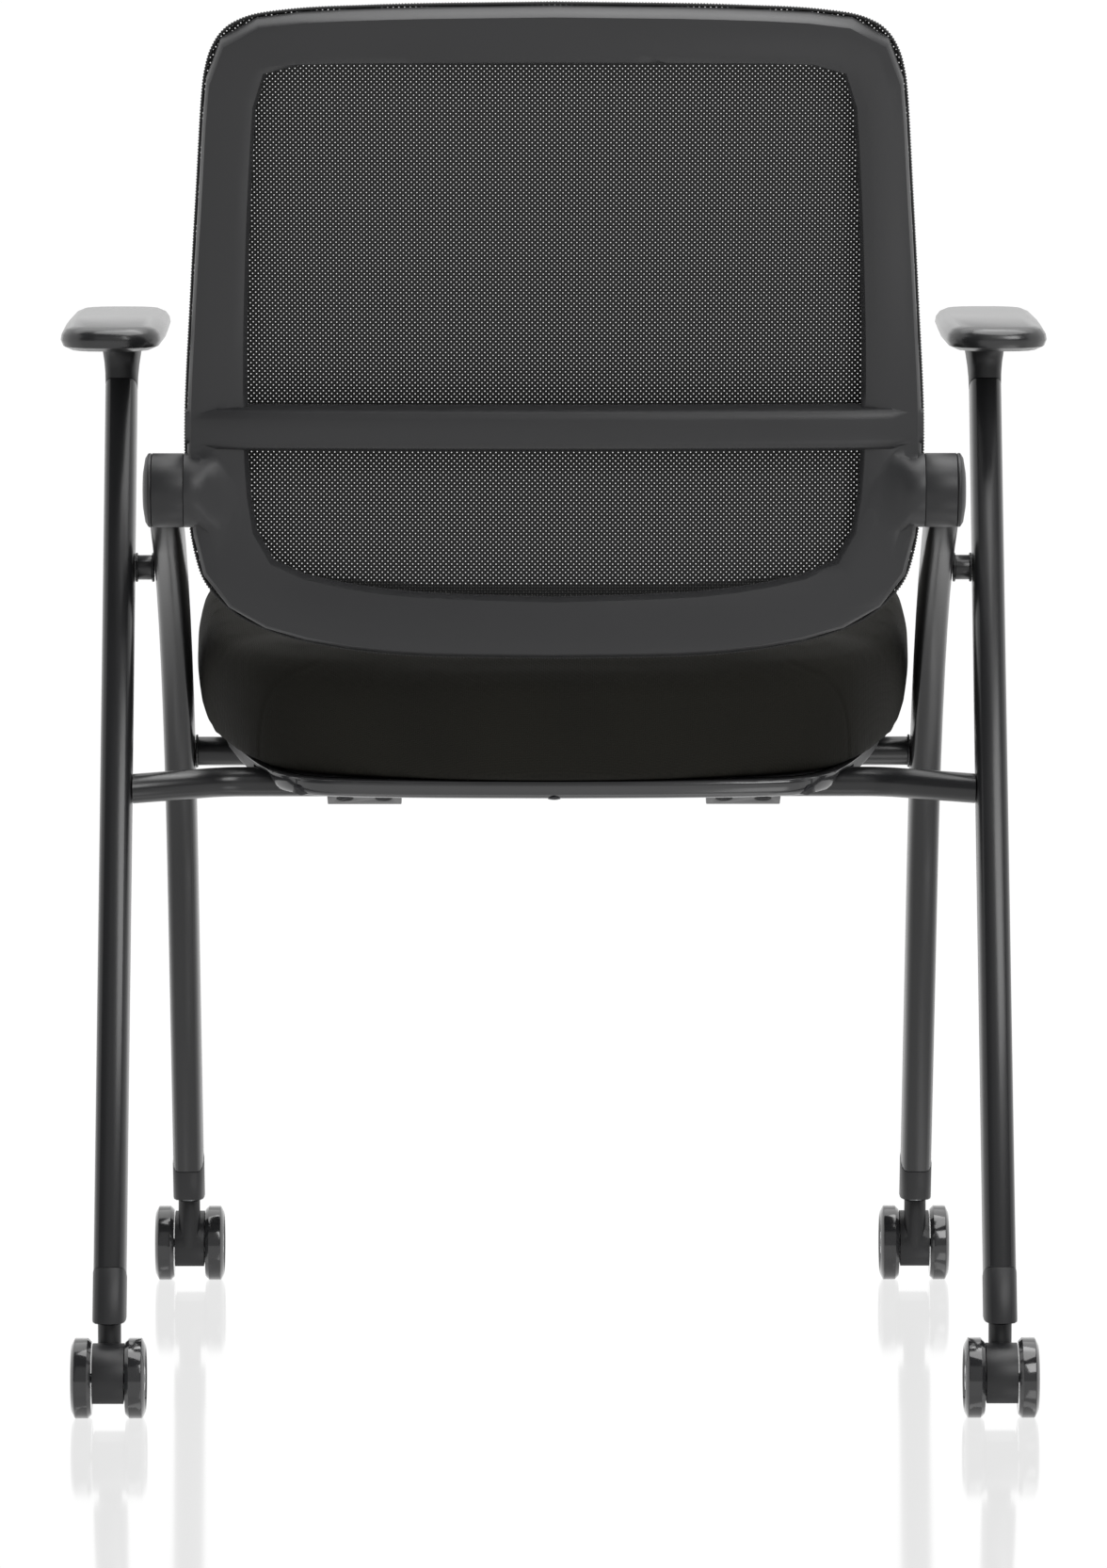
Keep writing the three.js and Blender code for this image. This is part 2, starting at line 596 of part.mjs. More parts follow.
/** The short round piece between an outer and an inner leg, near where they cross. */
function legSpacer(side) {
  const height = legCrossing() - SPACER_DROP;
  const inside = INNER_X + TUBE_WIDTH / 2 + GAP;
  const outside = OUTER_X - TUBE_WIDTH / 2 - GAP;
  const geometry = rod("x", SPACER_DIAMETER, inside, outside);
  if (side < 0) geometry.translate(-inside - outside, 0, 0);
  return geometry.translate(0, outerLegY(height), height);
}

// Arms

/** Plan outline of the arm pad, round at its corners and bowed a little along its sides. */
function padOutline(share) {
  const inset = ((1 - share) * PAD_WIDTH) / 2;
  const half = PAD_WIDTH / 2 - inset;
  const reach = PAD_LENGTH / 2 - inset;
  const radius = PAD_CORNER_RADIUS - inset;
  const points = [];
  const steps = TUBE_STEPS + 1;
  for (const [quarter, x, y] of [[0, 1, 1], [1, -1, 1], [2, -1, -1], [3, 1, -1]]) {
    for (let i = 0; i <= steps; i++) {
      const turn = (Math.PI / 2) * (quarter + i / steps);
      const at = new THREE.Vector2(x * (half - radius), y * (reach - radius));
      points.push(at.add(new THREE.Vector2(Math.cos(turn), Math.sin(turn)).multiplyScalar(radius)));
    }
    const sideStart = quarter === 1 || quarter === 3;
    if (sideStart) points.push(new THREE.Vector2(x * (half + PAD_BOW_SHARE * PAD_WIDTH), 0));
  }
  return points;
}

function armPad(side) {
  const middle = PAD_REAR + PAD_LENGTH / 2;
  const rings = padSideShares.map(([up, out]) => padOutline(out).map((p) => (
    new THREE.Vector3(side * (OUTER_X + PAD_OFFSET) + p.x, middle + p.y, PAD_BOTTOM + up * PAD_THICKNESS)
  )));
  return loft(rings, sideways);
}

/** Arm post: grows from the tube's section to a longer and wider foot under the pad. */
function armPost(x) {
  const steps = TUBE_STEPS + 1;
  const base = outerPoint(OUTER_LEG_TOP).addScaledVector(outerRun, GAP);
  const top = PAD_BOTTOM - GAP;
  const upright = new THREE.Vector2(0, 1);
  const rings = [];
  for (let i = 0; i <= steps; i++) {
    const share = i / steps;
    const flare = share * share;
    const at = new THREE.Vector2(mix(base.x, outerLegY(top), share), mix(base.y, top, share));
    const run = outerRun.clone().lerp(upright, share).normalize();
    const wide = mix(1, POST_TOP_WIDTH / TUBE_WIDTH, flare);
    const long = mix(1, POST_TOP_LENGTH / TUBE_DEPTH, flare);
    const section = tubeSection(0).map((p) => new THREE.Vector2(p.x * wide, p.y * long));
    rings.push(ringAt(section, x, at, run));
  }
  const below = base.clone().addScaledVector(outerRun, GAP);
  const back = outerRun.clone().negate();
  return join(loft(rings, sideways), plug(x, below, back, PLUG_LENGTH + GAP));
}

// Tilt drums

const DRUM_OUTER_FACE = DRUM_INNER_FACE + DRUM_WIDTH;

/** Moves a piece made round the x axis to the drum's axis, on the right or, mirrored, on the left. */
function toDrum(geometry, side) {
  const placed = side > 0 ? geometry : mirrored(geometry);
  return placed.translate(0, DRUM_AXIS_REACH, DRUM_AXIS_HEIGHT);
}

/** The geometry mirrored in the chair's middle plane. */
function mirrored(geometry) {
  const copy = geometry.index ? geometry.clone() : mergeVertices(stripped(geometry.clone()));
  return outward(copy.scale(-1, 1, 1));
}

function drumHousing(side) {
  const radius = DRUM_DIAMETER / 2;
  const bore = SPINDLE_DIAMETER / 2 + GAP;
  const profile = [
    [DRUM_INNER_FACE, bore], [DRUM_INNER_FACE, radius], [DRUM_OUTER_FACE, radius],
    [DRUM_OUTER_FACE, radius - DRUM_WALL], [DRUM_INNER_FACE + DRUM_WALL, radius - DRUM_WALL],
    [DRUM_INNER_FACE + DRUM_WALL, bore], [DRUM_INNER_FACE, bore],
  ];
  return toDrum(turned(profile), side);
}

function drumCap(side) {
  const radius = DRUM_DIAMETER / 2;
  const face = DRUM_OUTER_FACE + GAP;
  const spigot = radius - DRUM_WALL - GAP;
  const domeSteps = TUBE_STEPS;
  const profile = [[face - DRUM_WALL, 0], [face - DRUM_WALL, spigot], [face, spigot], [face, radius]];
  for (let i = 0; i <= domeSteps; i++) {
    const share = i / domeSteps;
    profile.push([face + CAP_DOME * (1 / domeSteps + (1 - 1 / domeSteps) * Math.sin((share * Math.PI) / 2)),
      radius * Math.cos((share * Math.PI) / 2)]);
  }
  return toDrum(turned(profile), side);
}

/** The spindle: pressed in the back's boss, and runs through the drum to just under its cap. */
function tiltSpindle(side) {
  const from = DRUM_INNER_FACE - GAP - SPINDLE_SEAT;
  const to = DRUM_OUTER_FACE - DRUM_WALL - GAP;
  return toDrum(rod("x", SPINDLE_DIAMETER, from, to), side);
}

/** The torsion spring: one wire wound round the spindle, clear of itself and of the drum. */
function tiltSpring(side) {
  const start = DRUM_INNER_FACE + DRUM_WALL + GAP + SPRING_WIRE / 2;
  const rings = [];
  for (let i = 0; i <= SPRING_TURNS * SPRING_STEPS; i++) {
    const turns = i / SPRING_STEPS;
    const turn = 2 * Math.PI * turns;
    const out = new THREE.Vector3(0, Math.cos(turn), Math.sin(turn));
    const along = new THREE.Vector3(1, 0, 0);
    const at = out.clone().multiplyScalar(SPRING_DIAMETER / 2).addScaledVector(along, start + SPRING_PITCH * turns);
    const ring = [...Array(SPRING_SIDES).keys()].map((k) => {
      const round = (2 * Math.PI * k) / SPRING_SIDES;
      const reach = out.clone().multiplyScalar(Math.cos(round)).addScaledVector(along, Math.sin(round));
      return at.clone().addScaledVector(reach, SPRING_WIRE / 2);
    });
    rings.push(ring);
  }
  const flatten = (p) => new THREE.Vector2(p.x, Math.hypot(p.y, p.z));
  return toDrum(loft(rings, flatten), side);
}

// Back

/** How far the frame's middle surface runs forward at a height, and its lean there in radians. */
function backLine(z) {
  const lean = radians(BACK_LEAN);
  const bendTop = BACK_BEND_START + BACK_BEND_RADIUS * Math.sin(lean);
  if (z <= BACK_BEND_START) return [0, 0];
  if (z <= bendTop) {
    const turn = Math.asin((z - BACK_BEND_START) / BACK_BEND_RADIUS);
    return [-BACK_BEND_RADIUS * (1 - Math.cos(turn)), turn];
  }
  return [-BACK_BEND_RADIUS * (1 - Math.cos(lean)) - (z - bendTop) * Math.tan(lean), lean];
}

/** A point of the back from its place across, its height and its distance in front of the middle surface. */
function onBack(x, z, front) {
  const [run, lean] = backLine(z);
  const bow = BACK_PLAN_BOW * ((2 * x) / BACK_WIDTH) ** 2 - BACK_PLAN_BOW;
  return new THREE.Vector3(x, DRUM_AXIS_REACH + bow + run + front * Math.cos(lean), z + front * Math.sin(lean));
}

const backRim = () => outline(backOutlineShares, BACK_WIDTH / 2, BACK_BOTTOM, BACK_TOP - BACK_BOTTOM, BACK_STATIONS);
const windowRim = () => (
  outline(windowOutlineShares, WINDOW_WIDTH / 2, WINDOW_BOTTOM, WINDOW_TOP - WINDOW_BOTTOM, BACK_STATIONS)
);

/** A closed ring of sections round the back, as one body. */
function backRing(sections) {
  const closed = [...sections, sections[0]];
  const geometry = geometryOf(closed.flat(), skin(closed));
  return outward(mergeVertices(geometry));
}

function backHoop() {
  const outer = backRim();
  const inner = windowRim();
  const sections = outer.map((p, i) => backSectionShares.map(([across, depth]) => {
    const at = p.clone().lerp(inner[i], across);
    return onBack(at.x, at.y, (depth * BACK_DEPTH) / 2);
  }));
  return backRing(sections);
}

/** The cross bar: a rounded rail that stands out to the rear and runs out over both sides. */
function backRail() {
  const steps = BACK_STATIONS / 2;
  const rings = [];
  for (let i = 0; i <= steps; i++) {
    const x = (RAIL_WIDTH / 2) * Math.sin((i / steps - 1 / 2) * Math.PI);
    const past = Math.max(0, (2 * Math.abs(x) - WINDOW_WIDTH) / (RAIL_WIDTH - WINDOW_WIDTH));
    const deep = RAIL_REAR * (1 - RAIL_END_SHARE * past ** 2);
    const high = RAIL_HEIGHT * (1 - RAIL_END_TAPER_SHARE * past ** 3);
    const rear = railRoundShares.map(([back, up]) => onBack(x, RAIL_MIDDLE + up * high, back * deep));
    const front = [1, -1].map((up) => onBack(x, RAIL_MIDDLE + (up * high) / 2, RAIL_FRONT));
    rings.push([...rear, ...front]);
  }
  return loft(rings, fromSide);
}

const EDGING_FRONT = BACK_DEPTH / 2 - GAP / 2; // in front of the frame's middle surface

/** A side boss: a round stub in line with the drum, flat in front, run out into the frame's rear face. */
function backBoss() {
  const end = DRUM_INNER_FACE - GAP;
  const radius = DRUM_DIAMETER / 2;
  const steps = TUBE_STEPS + 1;
  const front = EDGING_FRONT - EDGING_DEPTH - GAP;
  const ring = (x, blend) => [...Array(ROUND_SIDES).keys()].map((k) => {
    const turn = (2 * Math.PI * k) / ROUND_SIDES;
    const high = mix(radius, BOSS_FOOT_HEIGHT / 2, blend) * Math.sin(turn);
    const round = DRUM_AXIS_REACH + radius * Math.cos(turn);
    const flat = DRUM_AXIS_REACH - BACK_PLAN_BOW / 2 + (BACK_DEPTH / 3) * Math.cos(turn);
    const z = DRUM_AXIS_HEIGHT + high;
    return new THREE.Vector3(x, Math.min(mix(round, flat, blend), onBack(x, z, front).y), z);
  });
  const rings = [ring(end, 0), ring(end - BOSS_STRAIGHT, 0)];
  for (let i = 1; i <= steps; i++) {
    const share = i / steps;
    rings.push(ring(end - BOSS_STRAIGHT - BOSS_BLEND * share, 1 - (1 - share) ** 2));
  }
  return loft(rings, fromSide);
}

function backFrame() {
  const boss = backBoss();
  const boreEnd = DRUM_INNER_FACE - SPINDLE_SEAT - 2 * GAP;
  const bore = rod("x", SPINDLE_DIAMETER + 2 * GAP, boreEnd, DRUM_INNER_FACE + OVERRUN);
  const whole = join(backHoop(), backRail(), boss, mirrored(boss));
  return cut(whole, toDrum(bore.clone(), 1), toDrum(bore, -1));
}

/** The mesh panel: a thin sheet over the front of the frame, in rings that shrink to its middle. */
function backMesh() {
  const rim = grown(backRim(), MESH_OVERLAP);
  const middle = new THREE.Vector2(0, (BACK_BOTTOM + BACK_TOP) / 2);
  const shares = [1, 0.78, 0.4];
  const face = (front) => [
    ...shares.flatMap((share) => rim.map((p) => {
      const at = middle.clone().lerp(p, share);
      return onBack(at.x, at.y, front);
    })),
    onBack(middle.x, middle.y, front),
  ];
  const rear = BACK_DEPTH / 2 + MESH_LIFT;
  const points = [...face(rear), ...face(rear + MESH_THICKNESS)];
  const n = rim.length;
  const half = points.length / 2;
  const triangles = [];
  for (const [offset, flip] of [[0, false], [half, true]]) {
    const add = (a, b, c) => triangles.push((flip ? [a, c, b] : [a, b, c]).map((v) => v + offset));
    for (let r = 0; r + 1 < shares.length; r++) {
      for (let i = 0; i < n; i++) {
        const j = (i + 1) % n;
        add(r * n + i, r * n + j, (r + 1) * n + j);
        add(r * n + i, (r + 1) * n + j, (r + 1) * n + i);
      }
    }
    const last = (shares.length - 1) * n;
    for (let i = 0; i < n; i++) add(last + i, last + ((i + 1) % n), half - 1);
  }
  for (let i = 0; i < n; i++) {
    const j = (i + 1) % n;
    triangles.push([j, i, half + i], [j, half + i, half + j]);
  }
  return outward(geometryOf(points, triangles));
}

/** The mesh's edging: a narrow band round the frame, just outside it and behind the panel. */
function meshEdging() {
  const inside = grown(backRim(), GAP);
  const outside = grown(backRim(), GAP + EDGING_WIDTH);
  const sections = inside.map((p, i) => [
    onBack(p.x, p.y, EDGING_FRONT - EDGING_DEPTH), onBack(outside[i].x, outside[i].y, EDGING_FRONT - EDGING_DEPTH),
    onBack(outside[i].x, outside[i].y, EDGING_FRONT), onBack(p.x, p.y, EDGING_FRONT),
  ]);
  return backRing(sections);
}

// Seat, made round the hinge axis and tilted as a group

const PAN_TOP = PAN_BOTTOM + PAN_HEIGHT;
const FLOOR_UNDERSIDE = PAN_TOP - PAN_FLOOR;

/** The seat pan's outline in plan. */
const seatRim = () => outline(seatOutlineShares, PAN_WIDTH / 2, -SEAT_REAR, PAN_LENGTH, SEAT_STATIONS);

const level = (ring, z) => ring.map((p) => new THREE.Vector3(p.x, p.y, z));

/** A plate between two heights with the seat's outline, moved in or out. */
const seatPlate = (distance, low, high) => {
  const rim = grown(seatRim(), distance);
  return loft([level(rim, low), level(rim, high)], sideways);
};

/** Both places of a pair that stands at plus and minus half a spacing. */
const pair = (spacing) => [-spacing / 2, spacing / 2];

function seatPan() {
  const rim = seatRim();
  const lower = grown(rim, -PAN_EDGE_ROUND);
  const middle = grown(rim, -PAN_EDGE_ROUND / 4);
  const shell = loft([
    level(lower, PAN_BOTTOM), level(middle, PAN_BOTTOM + PAN_EDGE_ROUND), level(rim, PAN_BOTTOM + 2 * PAN_EDGE_ROUND),
    level(rim, PAN_TOP),
  ], sideways);
  const pocket = seatPlate(-PAN_RIM - PAN_EDGE_ROUND, PAN_BOTTOM - OVERRUN, FLOOR_UNDERSIDE);
  const ribLow = FLOOR_UNDERSIDE - PAN_RIB_HEIGHT;
  const overlap = PAN_FLOOR / 2;
  const ribs = [-2, -1, 0, 1, 2].map((k) => {
    const x = k * PAN_RIB_SPACING;
    const from = CLAMP_FRONT + GAP;
    return block([x - PAN_RIB / 2, from, ribLow], [x + PAN_RIB / 2, from + PAN_RIB_LENGTH, FLOOR_UNDERSIDE + overlap]);
  });
  const saddles = pair(CLAMP_SPACING).map((x) => (
    block([x - CLAMP_WIDTH / 2, -CLAMP_REAR, GAP / 2], [x + CLAMP_WIDTH / 2, CLAMP_FRONT, FLOOR_UNDERSIDE + overlap])
  ));
  const posts = recessPlaces().map(([x, y]) => (
    rod("z", RIM_RECESS_DIAMETER + 2 * PAN_RIB, PAN_BOTTOM, FLOOR_UNDERSIDE + overlap).translate(x, y, 0)
  ));
  const recesses = recessPlaces().map(([x, y]) => (
    rod("z", RIM_RECESS_DIAMETER, PAN_BOTTOM - OVERRUN, PAN_BOTTOM + RIM_RECESS_DEPTH).translate(x, y, 0)
  ));
  const channel = rod("x", BAR_DIAMETER + 2 * GAP, -PAN_WIDTH, PAN_WIDTH);
  const mouth = block([-PAN_WIDTH, -BAR_DIAMETER / 2 - GAP, -BAR_DIAMETER], [PAN_WIDTH, BAR_DIAMETER / 2 + GAP, 0]);
  const holes = screwPlaces().map(([x, y]) => (
    rod("z", CLAMP_SCREW_DIAMETER + 2 * GAP, -OVERRUN, CLAMP_SCREW_REACH + GAP).translate(x, y, 0)
  ));
  const body = join(cut(shell, pocket), ...ribs, ...saddles, ...posts);
  return cut(body, channel, mouth, barRelief(), ...recesses, ...holes);
}

/** Room in the pan's corners for the rear bar where it bends back to the legs. */
function barRelief() {
  const from = REAR_BAR_STRAIGHT / 2 - REAR_BAR_BEND_RADIUS;
  const high = BAR_DIAMETER / 2 + GAP;
  const right = block([from, -REAR_BAR_BOW - BAR_DIAMETER, -high], [PAN_WIDTH, high, high]);
  const left = block([-PAN_WIDTH, -REAR_BAR_BOW - BAR_DIAMETER, -high], [-from, high, high]);
  return join(right, left);
}

function recessPlaces() {
  const rear = -SEAT_REAR + RIM_RECESS_INSET;
  return [-1, 0, 1].map((k) => [k * RIM_RECESS_SPACING, k === 0 ? rear : rear + RIM_RECESS_INSET * 0.9]);
}

function screwPlaces() {
  return pair(CLAMP_SPACING).flatMap((x) => pair(CLAMP_SCREW_SPACING).map((dx) => [x + dx, -CLAMP_SCREW_SETBACK]));
}

function seatBoard() {
  return seatPlate(-BOARD_INSET, PAN_TOP + GAP, PAN_TOP + GAP + BOARD_THICKNESS);
}

/** The upholstered cushion: sides drawn in at the pan, bulging above it, and a crowned top. */
function seatCushion() {
  const rim = seatRim();
  const low = PAN_TOP + GAP;
  const side = ([up, out]) => level(grown(rim, out * CUSHION_BULGE), low + up * CUSHION_HEIGHT);
  const rings = cushionSideShares.map(side);
  const shoulder = rings.at(-1);
  const middle = new THREE.Vector3(0, -SEAT_REAR + PAN_LENGTH / 2, shoulder[0].z);
  for (const share of cushionTopShares) {
    const crown = (low + CUSHION_HEIGHT + CUSHION_CROWN * (1 - share ** 2)) - middle.z;
    rings.push(shoulder.map((p) => middle.clone().lerp(p, share).add(new THREE.Vector3(0, 0, crown))));
  }
  const pad = loft(rings, sideways);
  return cut(pad, seatPlate(-BOARD_INSET + GAP, low - OVERRUN, PAN_TOP + BOARD_THICKNESS + 2 * GAP));
}

/** The clamp under the bar: half-round seat, inclined rear flange and two counterbored holes. */
function hingeClamp(x) {
  const reach = BAR_DIAMETER / 2 + GAP;
  const bottom = -reach - CLAMP_UNDER;
  const top = -GAP / 2;
  const flat = reach / 2;
  const profile = new THREE.Shape([
    [-CLAMP_REAR, top], [-CLAMP_REAR, top - CLAMP_EDGE], [-flat, bottom], [flat, bottom],
    [CLAMP_FRONT, top - CLAMP_EDGE], [CLAMP_FRONT, top],
  ].map(([y, z]) => new THREE.Vector2(y, z)));
  const body = new THREE.ExtrudeGeometry(profile, { depth: CLAMP_WIDTH, bevelEnabled: false });
  body.rotateY(Math.PI / 2).rotateX(Math.PI / 2).translate(x - CLAMP_WIDTH / 2, 0, 0);
  const seat = rod("x", BAR_DIAMETER + 2 * GAP, x - CLAMP_WIDTH, x + CLAMP_WIDTH);
  const tools = screwPlaces().filter(([at]) => Math.abs(at - x) < CLAMP_WIDTH / 2).flatMap(([at, y]) => [
    rod("z", CLAMP_SCREW_DIAMETER + 2 * GAP, bottom, OVERRUN).translate(at, y, 0),
    rod("z", CLAMP_SCREW_RECESS, bottom - OVERRUN, top - CLAMP_EDGE).translate(at, y, 0),
  ]);
  return cut(body, seat, ...tools);
}

/** A pan-head screw of the clamp, head down. */
function clampScrew(x, y) {
  const headTop = -GAP / 2 - CLAMP_EDGE - GAP;
  const shank = rod("z", CLAMP_SCREW_DIAMETER, headTop - CLAMP_SCREW_HEAD_HEIGHT / 2, CLAMP_SCREW_REACH);
  const head = rod("z", CLAMP_SCREW_HEAD, headTop - CLAMP_SCREW_HEAD_HEIGHT, headTop);
  return join(head, shank).translate(x, y, 0);
}

/** Where the front bar lies in the seat's frame: [y, z]. */
function frontBarInSeat() {
  const tilt = radians(SEAT_TILT);
  const at = new THREE.Vector2(innerLegY(FRONT_BAR_HEIGHT) - HINGE_Y, FRONT_BAR_HEIGHT - REAR_BAR_HEIGHT);
  return at.rotateAround(new THREE.Vector2(), -tilt).toArray();
}

/** A rubber buffer between the pan's floor and the front bar, hollowed to sit on it. */
function seatBuffer(x) {
  const [y, z] = frontBarInSeat();
  const low = [x - BUFFER_WIDTH / 2, y - BUFFER_LENGTH / 2, z + BAR_DIAMETER / 3];
  const body = block(low, [x + BUFFER_WIDTH / 2, y + BUFFER_LENGTH / 2, FLOOR_UNDERSIDE - GAP]);
  const seat = rod("x", BAR_DIAMETER + 2 * GAP, x - BUFFER_WIDTH, x + BUFFER_WIDTH).translate(0, y, z);
  return cut(body, seat);
}

// Casters, made round the stem's foot on the floor, wheels towards -y

/** Half the width that the housing takes between the wheels. */
const HOUSING_HALF = CASTER_WIDTH / 2 - WHEEL_WIDTH - HOUSING_CLEARANCE;

function casterHousing() {
  const disc = rod("x", HOUSING_DIAMETER, -HOUSING_HALF, HOUSING_HALF, ROUND_SIDES);
  disc.translate(0, -CASTER_TRAIL, WHEEL_RADIUS);
  const neck = rod("z", NECK_DIAMETER, WHEEL_RADIUS, SLEEVE_BOTTOM - COLLAR_HEIGHT - GAP);
  const below = [-WHEEL_DIAMETER, -WHEEL_DIAMETER, -OVERRUN];
  const floor = block(below, [WHEEL_DIAMETER, WHEEL_DIAMETER, HOUSING_BOTTOM]);
  const slim = block([-HOUSING_HALF, -WHEEL_DIAMETER, -OVERRUN], [HOUSING_HALF, WHEEL_DIAMETER, SLEEVE_BOTTOM]);
  const axleBore = rod("x", AXLE_DIAMETER + 2 * GAP, -WHEEL_DIAMETER, WHEEL_DIAMETER);
  axleBore.translate(0, -CASTER_TRAIL, WHEEL_RADIUS);
  const stemBore = rod("z", STEM_DIAMETER + 2 * GAP, STEM_FOOT - GAP, SLEEVE_BOTTOM);
  return cut(shared(join(disc, neck), slim), floor, axleBore, stemBore);
}

const COLLAR_HEIGHT = 2.6;
const STEM_FOOT = WHEEL_RADIUS + AXLE_DIAMETER;

/** The stem: a round pin from the housing into the sleeve, with a collar under the sleeve. */
function casterStem() {
  const pin = rod("z", STEM_DIAMETER, STEM_FOOT, SLEEVE_BOTTOM + STEM_DEPTH);
  const collar = rod("z", COLLAR_DIAMETER, SLEEVE_BOTTOM - COLLAR_HEIGHT, SLEEVE_BOTTOM - GAP);
  return join(pin, collar);
}

function casterAxle() {
  const half = CASTER_WIDTH / 2 - WHEEL_DISH_DEPTH - GAP;
  return rod("x", AXLE_DIAMETER, -half, half).translate(0, -CASTER_TRAIL, WHEEL_RADIUS);
}

/** A wheel about the x axis: rounded tread, dished outer face and a hub round the axle. */
function casterWheel(side) {
  const rim = WHEEL_RADIUS / Math.cos(Math.PI / ROUND_SIDES);
  const inner = CASTER_WIDTH / 2 - WHEEL_WIDTH;
  const outer = CASTER_WIDTH / 2;
  const edge = WHEEL_EDGE_RADIUS;
  const soft = edge / 3;
  const hub = WHEEL_HUB_DIAMETER / 2;
  const bore = AXLE_DIAMETER / 2 + GAP;
  const dish = outer - WHEEL_DISH_DEPTH;
  const profile = [
    [inner, bore], [inner, rim - edge], [inner + edge, rim], [outer - edge, rim],
    [outer, rim - 2 * edge], [dish, rim - 3 * edge], [dish, hub], [outer - soft, hub - soft],
    [outer - soft, bore], [inner, bore],
  ];
  const wheel = turned(profile).rotateX(Math.PI / ROUND_SIDES);
  const placed = side > 0 ? wheel : mirrored(wheel);
  return placed.translate(0, -CASTER_TRAIL, WHEEL_RADIUS);
}

/** One caster as a group at its stem; facing is 1 where the wheels trail to the rear, -1 to the front. */
function caster(name, x, stemY, facing) {
  const group = new THREE.Group();
  const add = (part, geometry, material) => {
    if (facing < 0) geometry.rotateZ(Math.PI);
    group.add(piece(`${name}_${part}`, geometry, material));
  };
  add("housing", casterHousing(), blackPlastic);
  add("stem", casterStem(), steel);
  add("axle", casterAxle(), steel);
  add("wheel_left", casterWheel(-facing), wheelPlastic);
  add("wheel_right", casterWheel(facing), wheelPlastic);
  group.position.set(x, stemY, 0);
  return group;
}

// The chair

const chair = new THREE.Group();
const add = (name, geometry, material) => chair.add(piece(name, geometry, material));

for (const [word, side] of [["left", -1], ["right", 1]]) {
  add(`outer_leg_${word}`, outerLeg(side * OUTER_X), powderCoat);
  add(`inner_leg_${word}`, innerLeg(side * INNER_X), powderCoat);
  add(`leg_spacer_${word}`, legSpacer(side), powderCoat);
  add(`rear_foot_sleeve_${word}`, footSleeve(side * OUTER_X, REAR_STEM_Y, outerRun), blackPlastic);
  add(`front_foot_sleeve_${word}`, footSleeve(side * INNER_X, FRONT_STEM_Y, innerRun), blackPlastic);
  add(`arm_post_${word}`, armPost(side * OUTER_X), blackPlastic);
  add(`arm_pad_${word}`, armPad(side), padPolymer);
  add(`tilt_drum_${word}`, drumHousing(side), greyPlastic);
  add(`tilt_drum_cap_${word}`, drumCap(side), greyPlastic);
  add(`tilt_spring_${word}`, tiltSpring(side), steel);
  add(`tilt_spindle_${word}`, tiltSpindle(side), steel);
  chair.add(caster(`rear_caster_${word}`, side * OUTER_X, REAR_STEM_Y, 1));
  chair.add(caster(`front_caster_${word}`, side * INNER_X, FRONT_STEM_Y, -1));
}
add("front_bar", frontBar(), powderCoat);
add("rear_bar", rearBar(), powderCoat);
add("back_frame", backFrame(), greyPlastic);
add("back_mesh", backMesh(), meshFabric);
add("mesh_edging", meshEdging(), meshFabric);

const seat = new THREE.Group();
seat.add(piece("seat_pan", seatPan(), greyPlastic));
seat.add(piece("seat_board", seatBoard(), plywood));
seat.add(piece("seat_cushion", seatCushion(), seatFabric));
for (const [word, side] of [["left", -1], ["right", 1]]) {
  seat.add(piece(`hinge_clamp_${word}`, hingeClamp((side * CLAMP_SPACING) / 2), greyPlastic));
  seat.add(piece(`seat_buffer_${word}`, seatBuffer((side * BUFFER_SPACING) / 2), rubber));
}
screwPlaces().forEach(([x, y], i) => seat.add(piece(`hinge_screw_${i + 1}`, clampScrew(x, y), steel)));
seat.position.set(0, HINGE_Y, REAR_BAR_HEIGHT);
seat.rotation.x = radians(SEAT_TILT);
chair.add(seat);

// The middle of the chair's outline comes to the origin
chair.updateMatrixWorld(true);
const outlineBox = new THREE.Box3().setFromObject(chair, true);
chair.position.y = -(outlineBox.min.y + outlineBox.max.y) / 2;

const group = new THREE.Group();
group.add(chair);
export default group;
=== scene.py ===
"""Finishes, soft pieces, trim, camera and light for the nesting chair."""

import json
import logging
import math
from dataclasses import dataclass
from enum import Enum
from typing import Any, Optional, Sequence

import bmesh
import bpy
import numpy as np
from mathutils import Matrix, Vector
from mathutils.bvhtree import BVHTree


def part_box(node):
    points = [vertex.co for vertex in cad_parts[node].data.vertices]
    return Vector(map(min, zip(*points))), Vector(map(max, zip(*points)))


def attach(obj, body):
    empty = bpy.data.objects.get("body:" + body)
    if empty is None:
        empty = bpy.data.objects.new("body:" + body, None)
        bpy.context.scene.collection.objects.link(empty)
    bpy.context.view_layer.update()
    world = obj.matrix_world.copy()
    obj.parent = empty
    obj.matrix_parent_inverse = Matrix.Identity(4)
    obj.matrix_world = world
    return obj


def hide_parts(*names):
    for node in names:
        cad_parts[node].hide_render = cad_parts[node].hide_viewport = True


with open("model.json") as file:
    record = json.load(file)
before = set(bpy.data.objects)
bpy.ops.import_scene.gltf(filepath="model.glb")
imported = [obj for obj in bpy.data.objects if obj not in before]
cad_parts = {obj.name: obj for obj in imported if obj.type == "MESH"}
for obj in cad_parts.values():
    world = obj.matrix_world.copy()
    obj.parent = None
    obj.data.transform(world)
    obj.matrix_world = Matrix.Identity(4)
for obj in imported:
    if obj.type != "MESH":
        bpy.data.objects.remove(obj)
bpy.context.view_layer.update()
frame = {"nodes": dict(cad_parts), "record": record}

LOG = logging.getLogger("chair")
MM = 0.001

Colour = tuple[float, float, float, float]
Points = tuple[tuple[float, float], ...]
Ring = list[Vector]
Piece = bpy.types.Object
Socket = bpy.types.NodeSocket


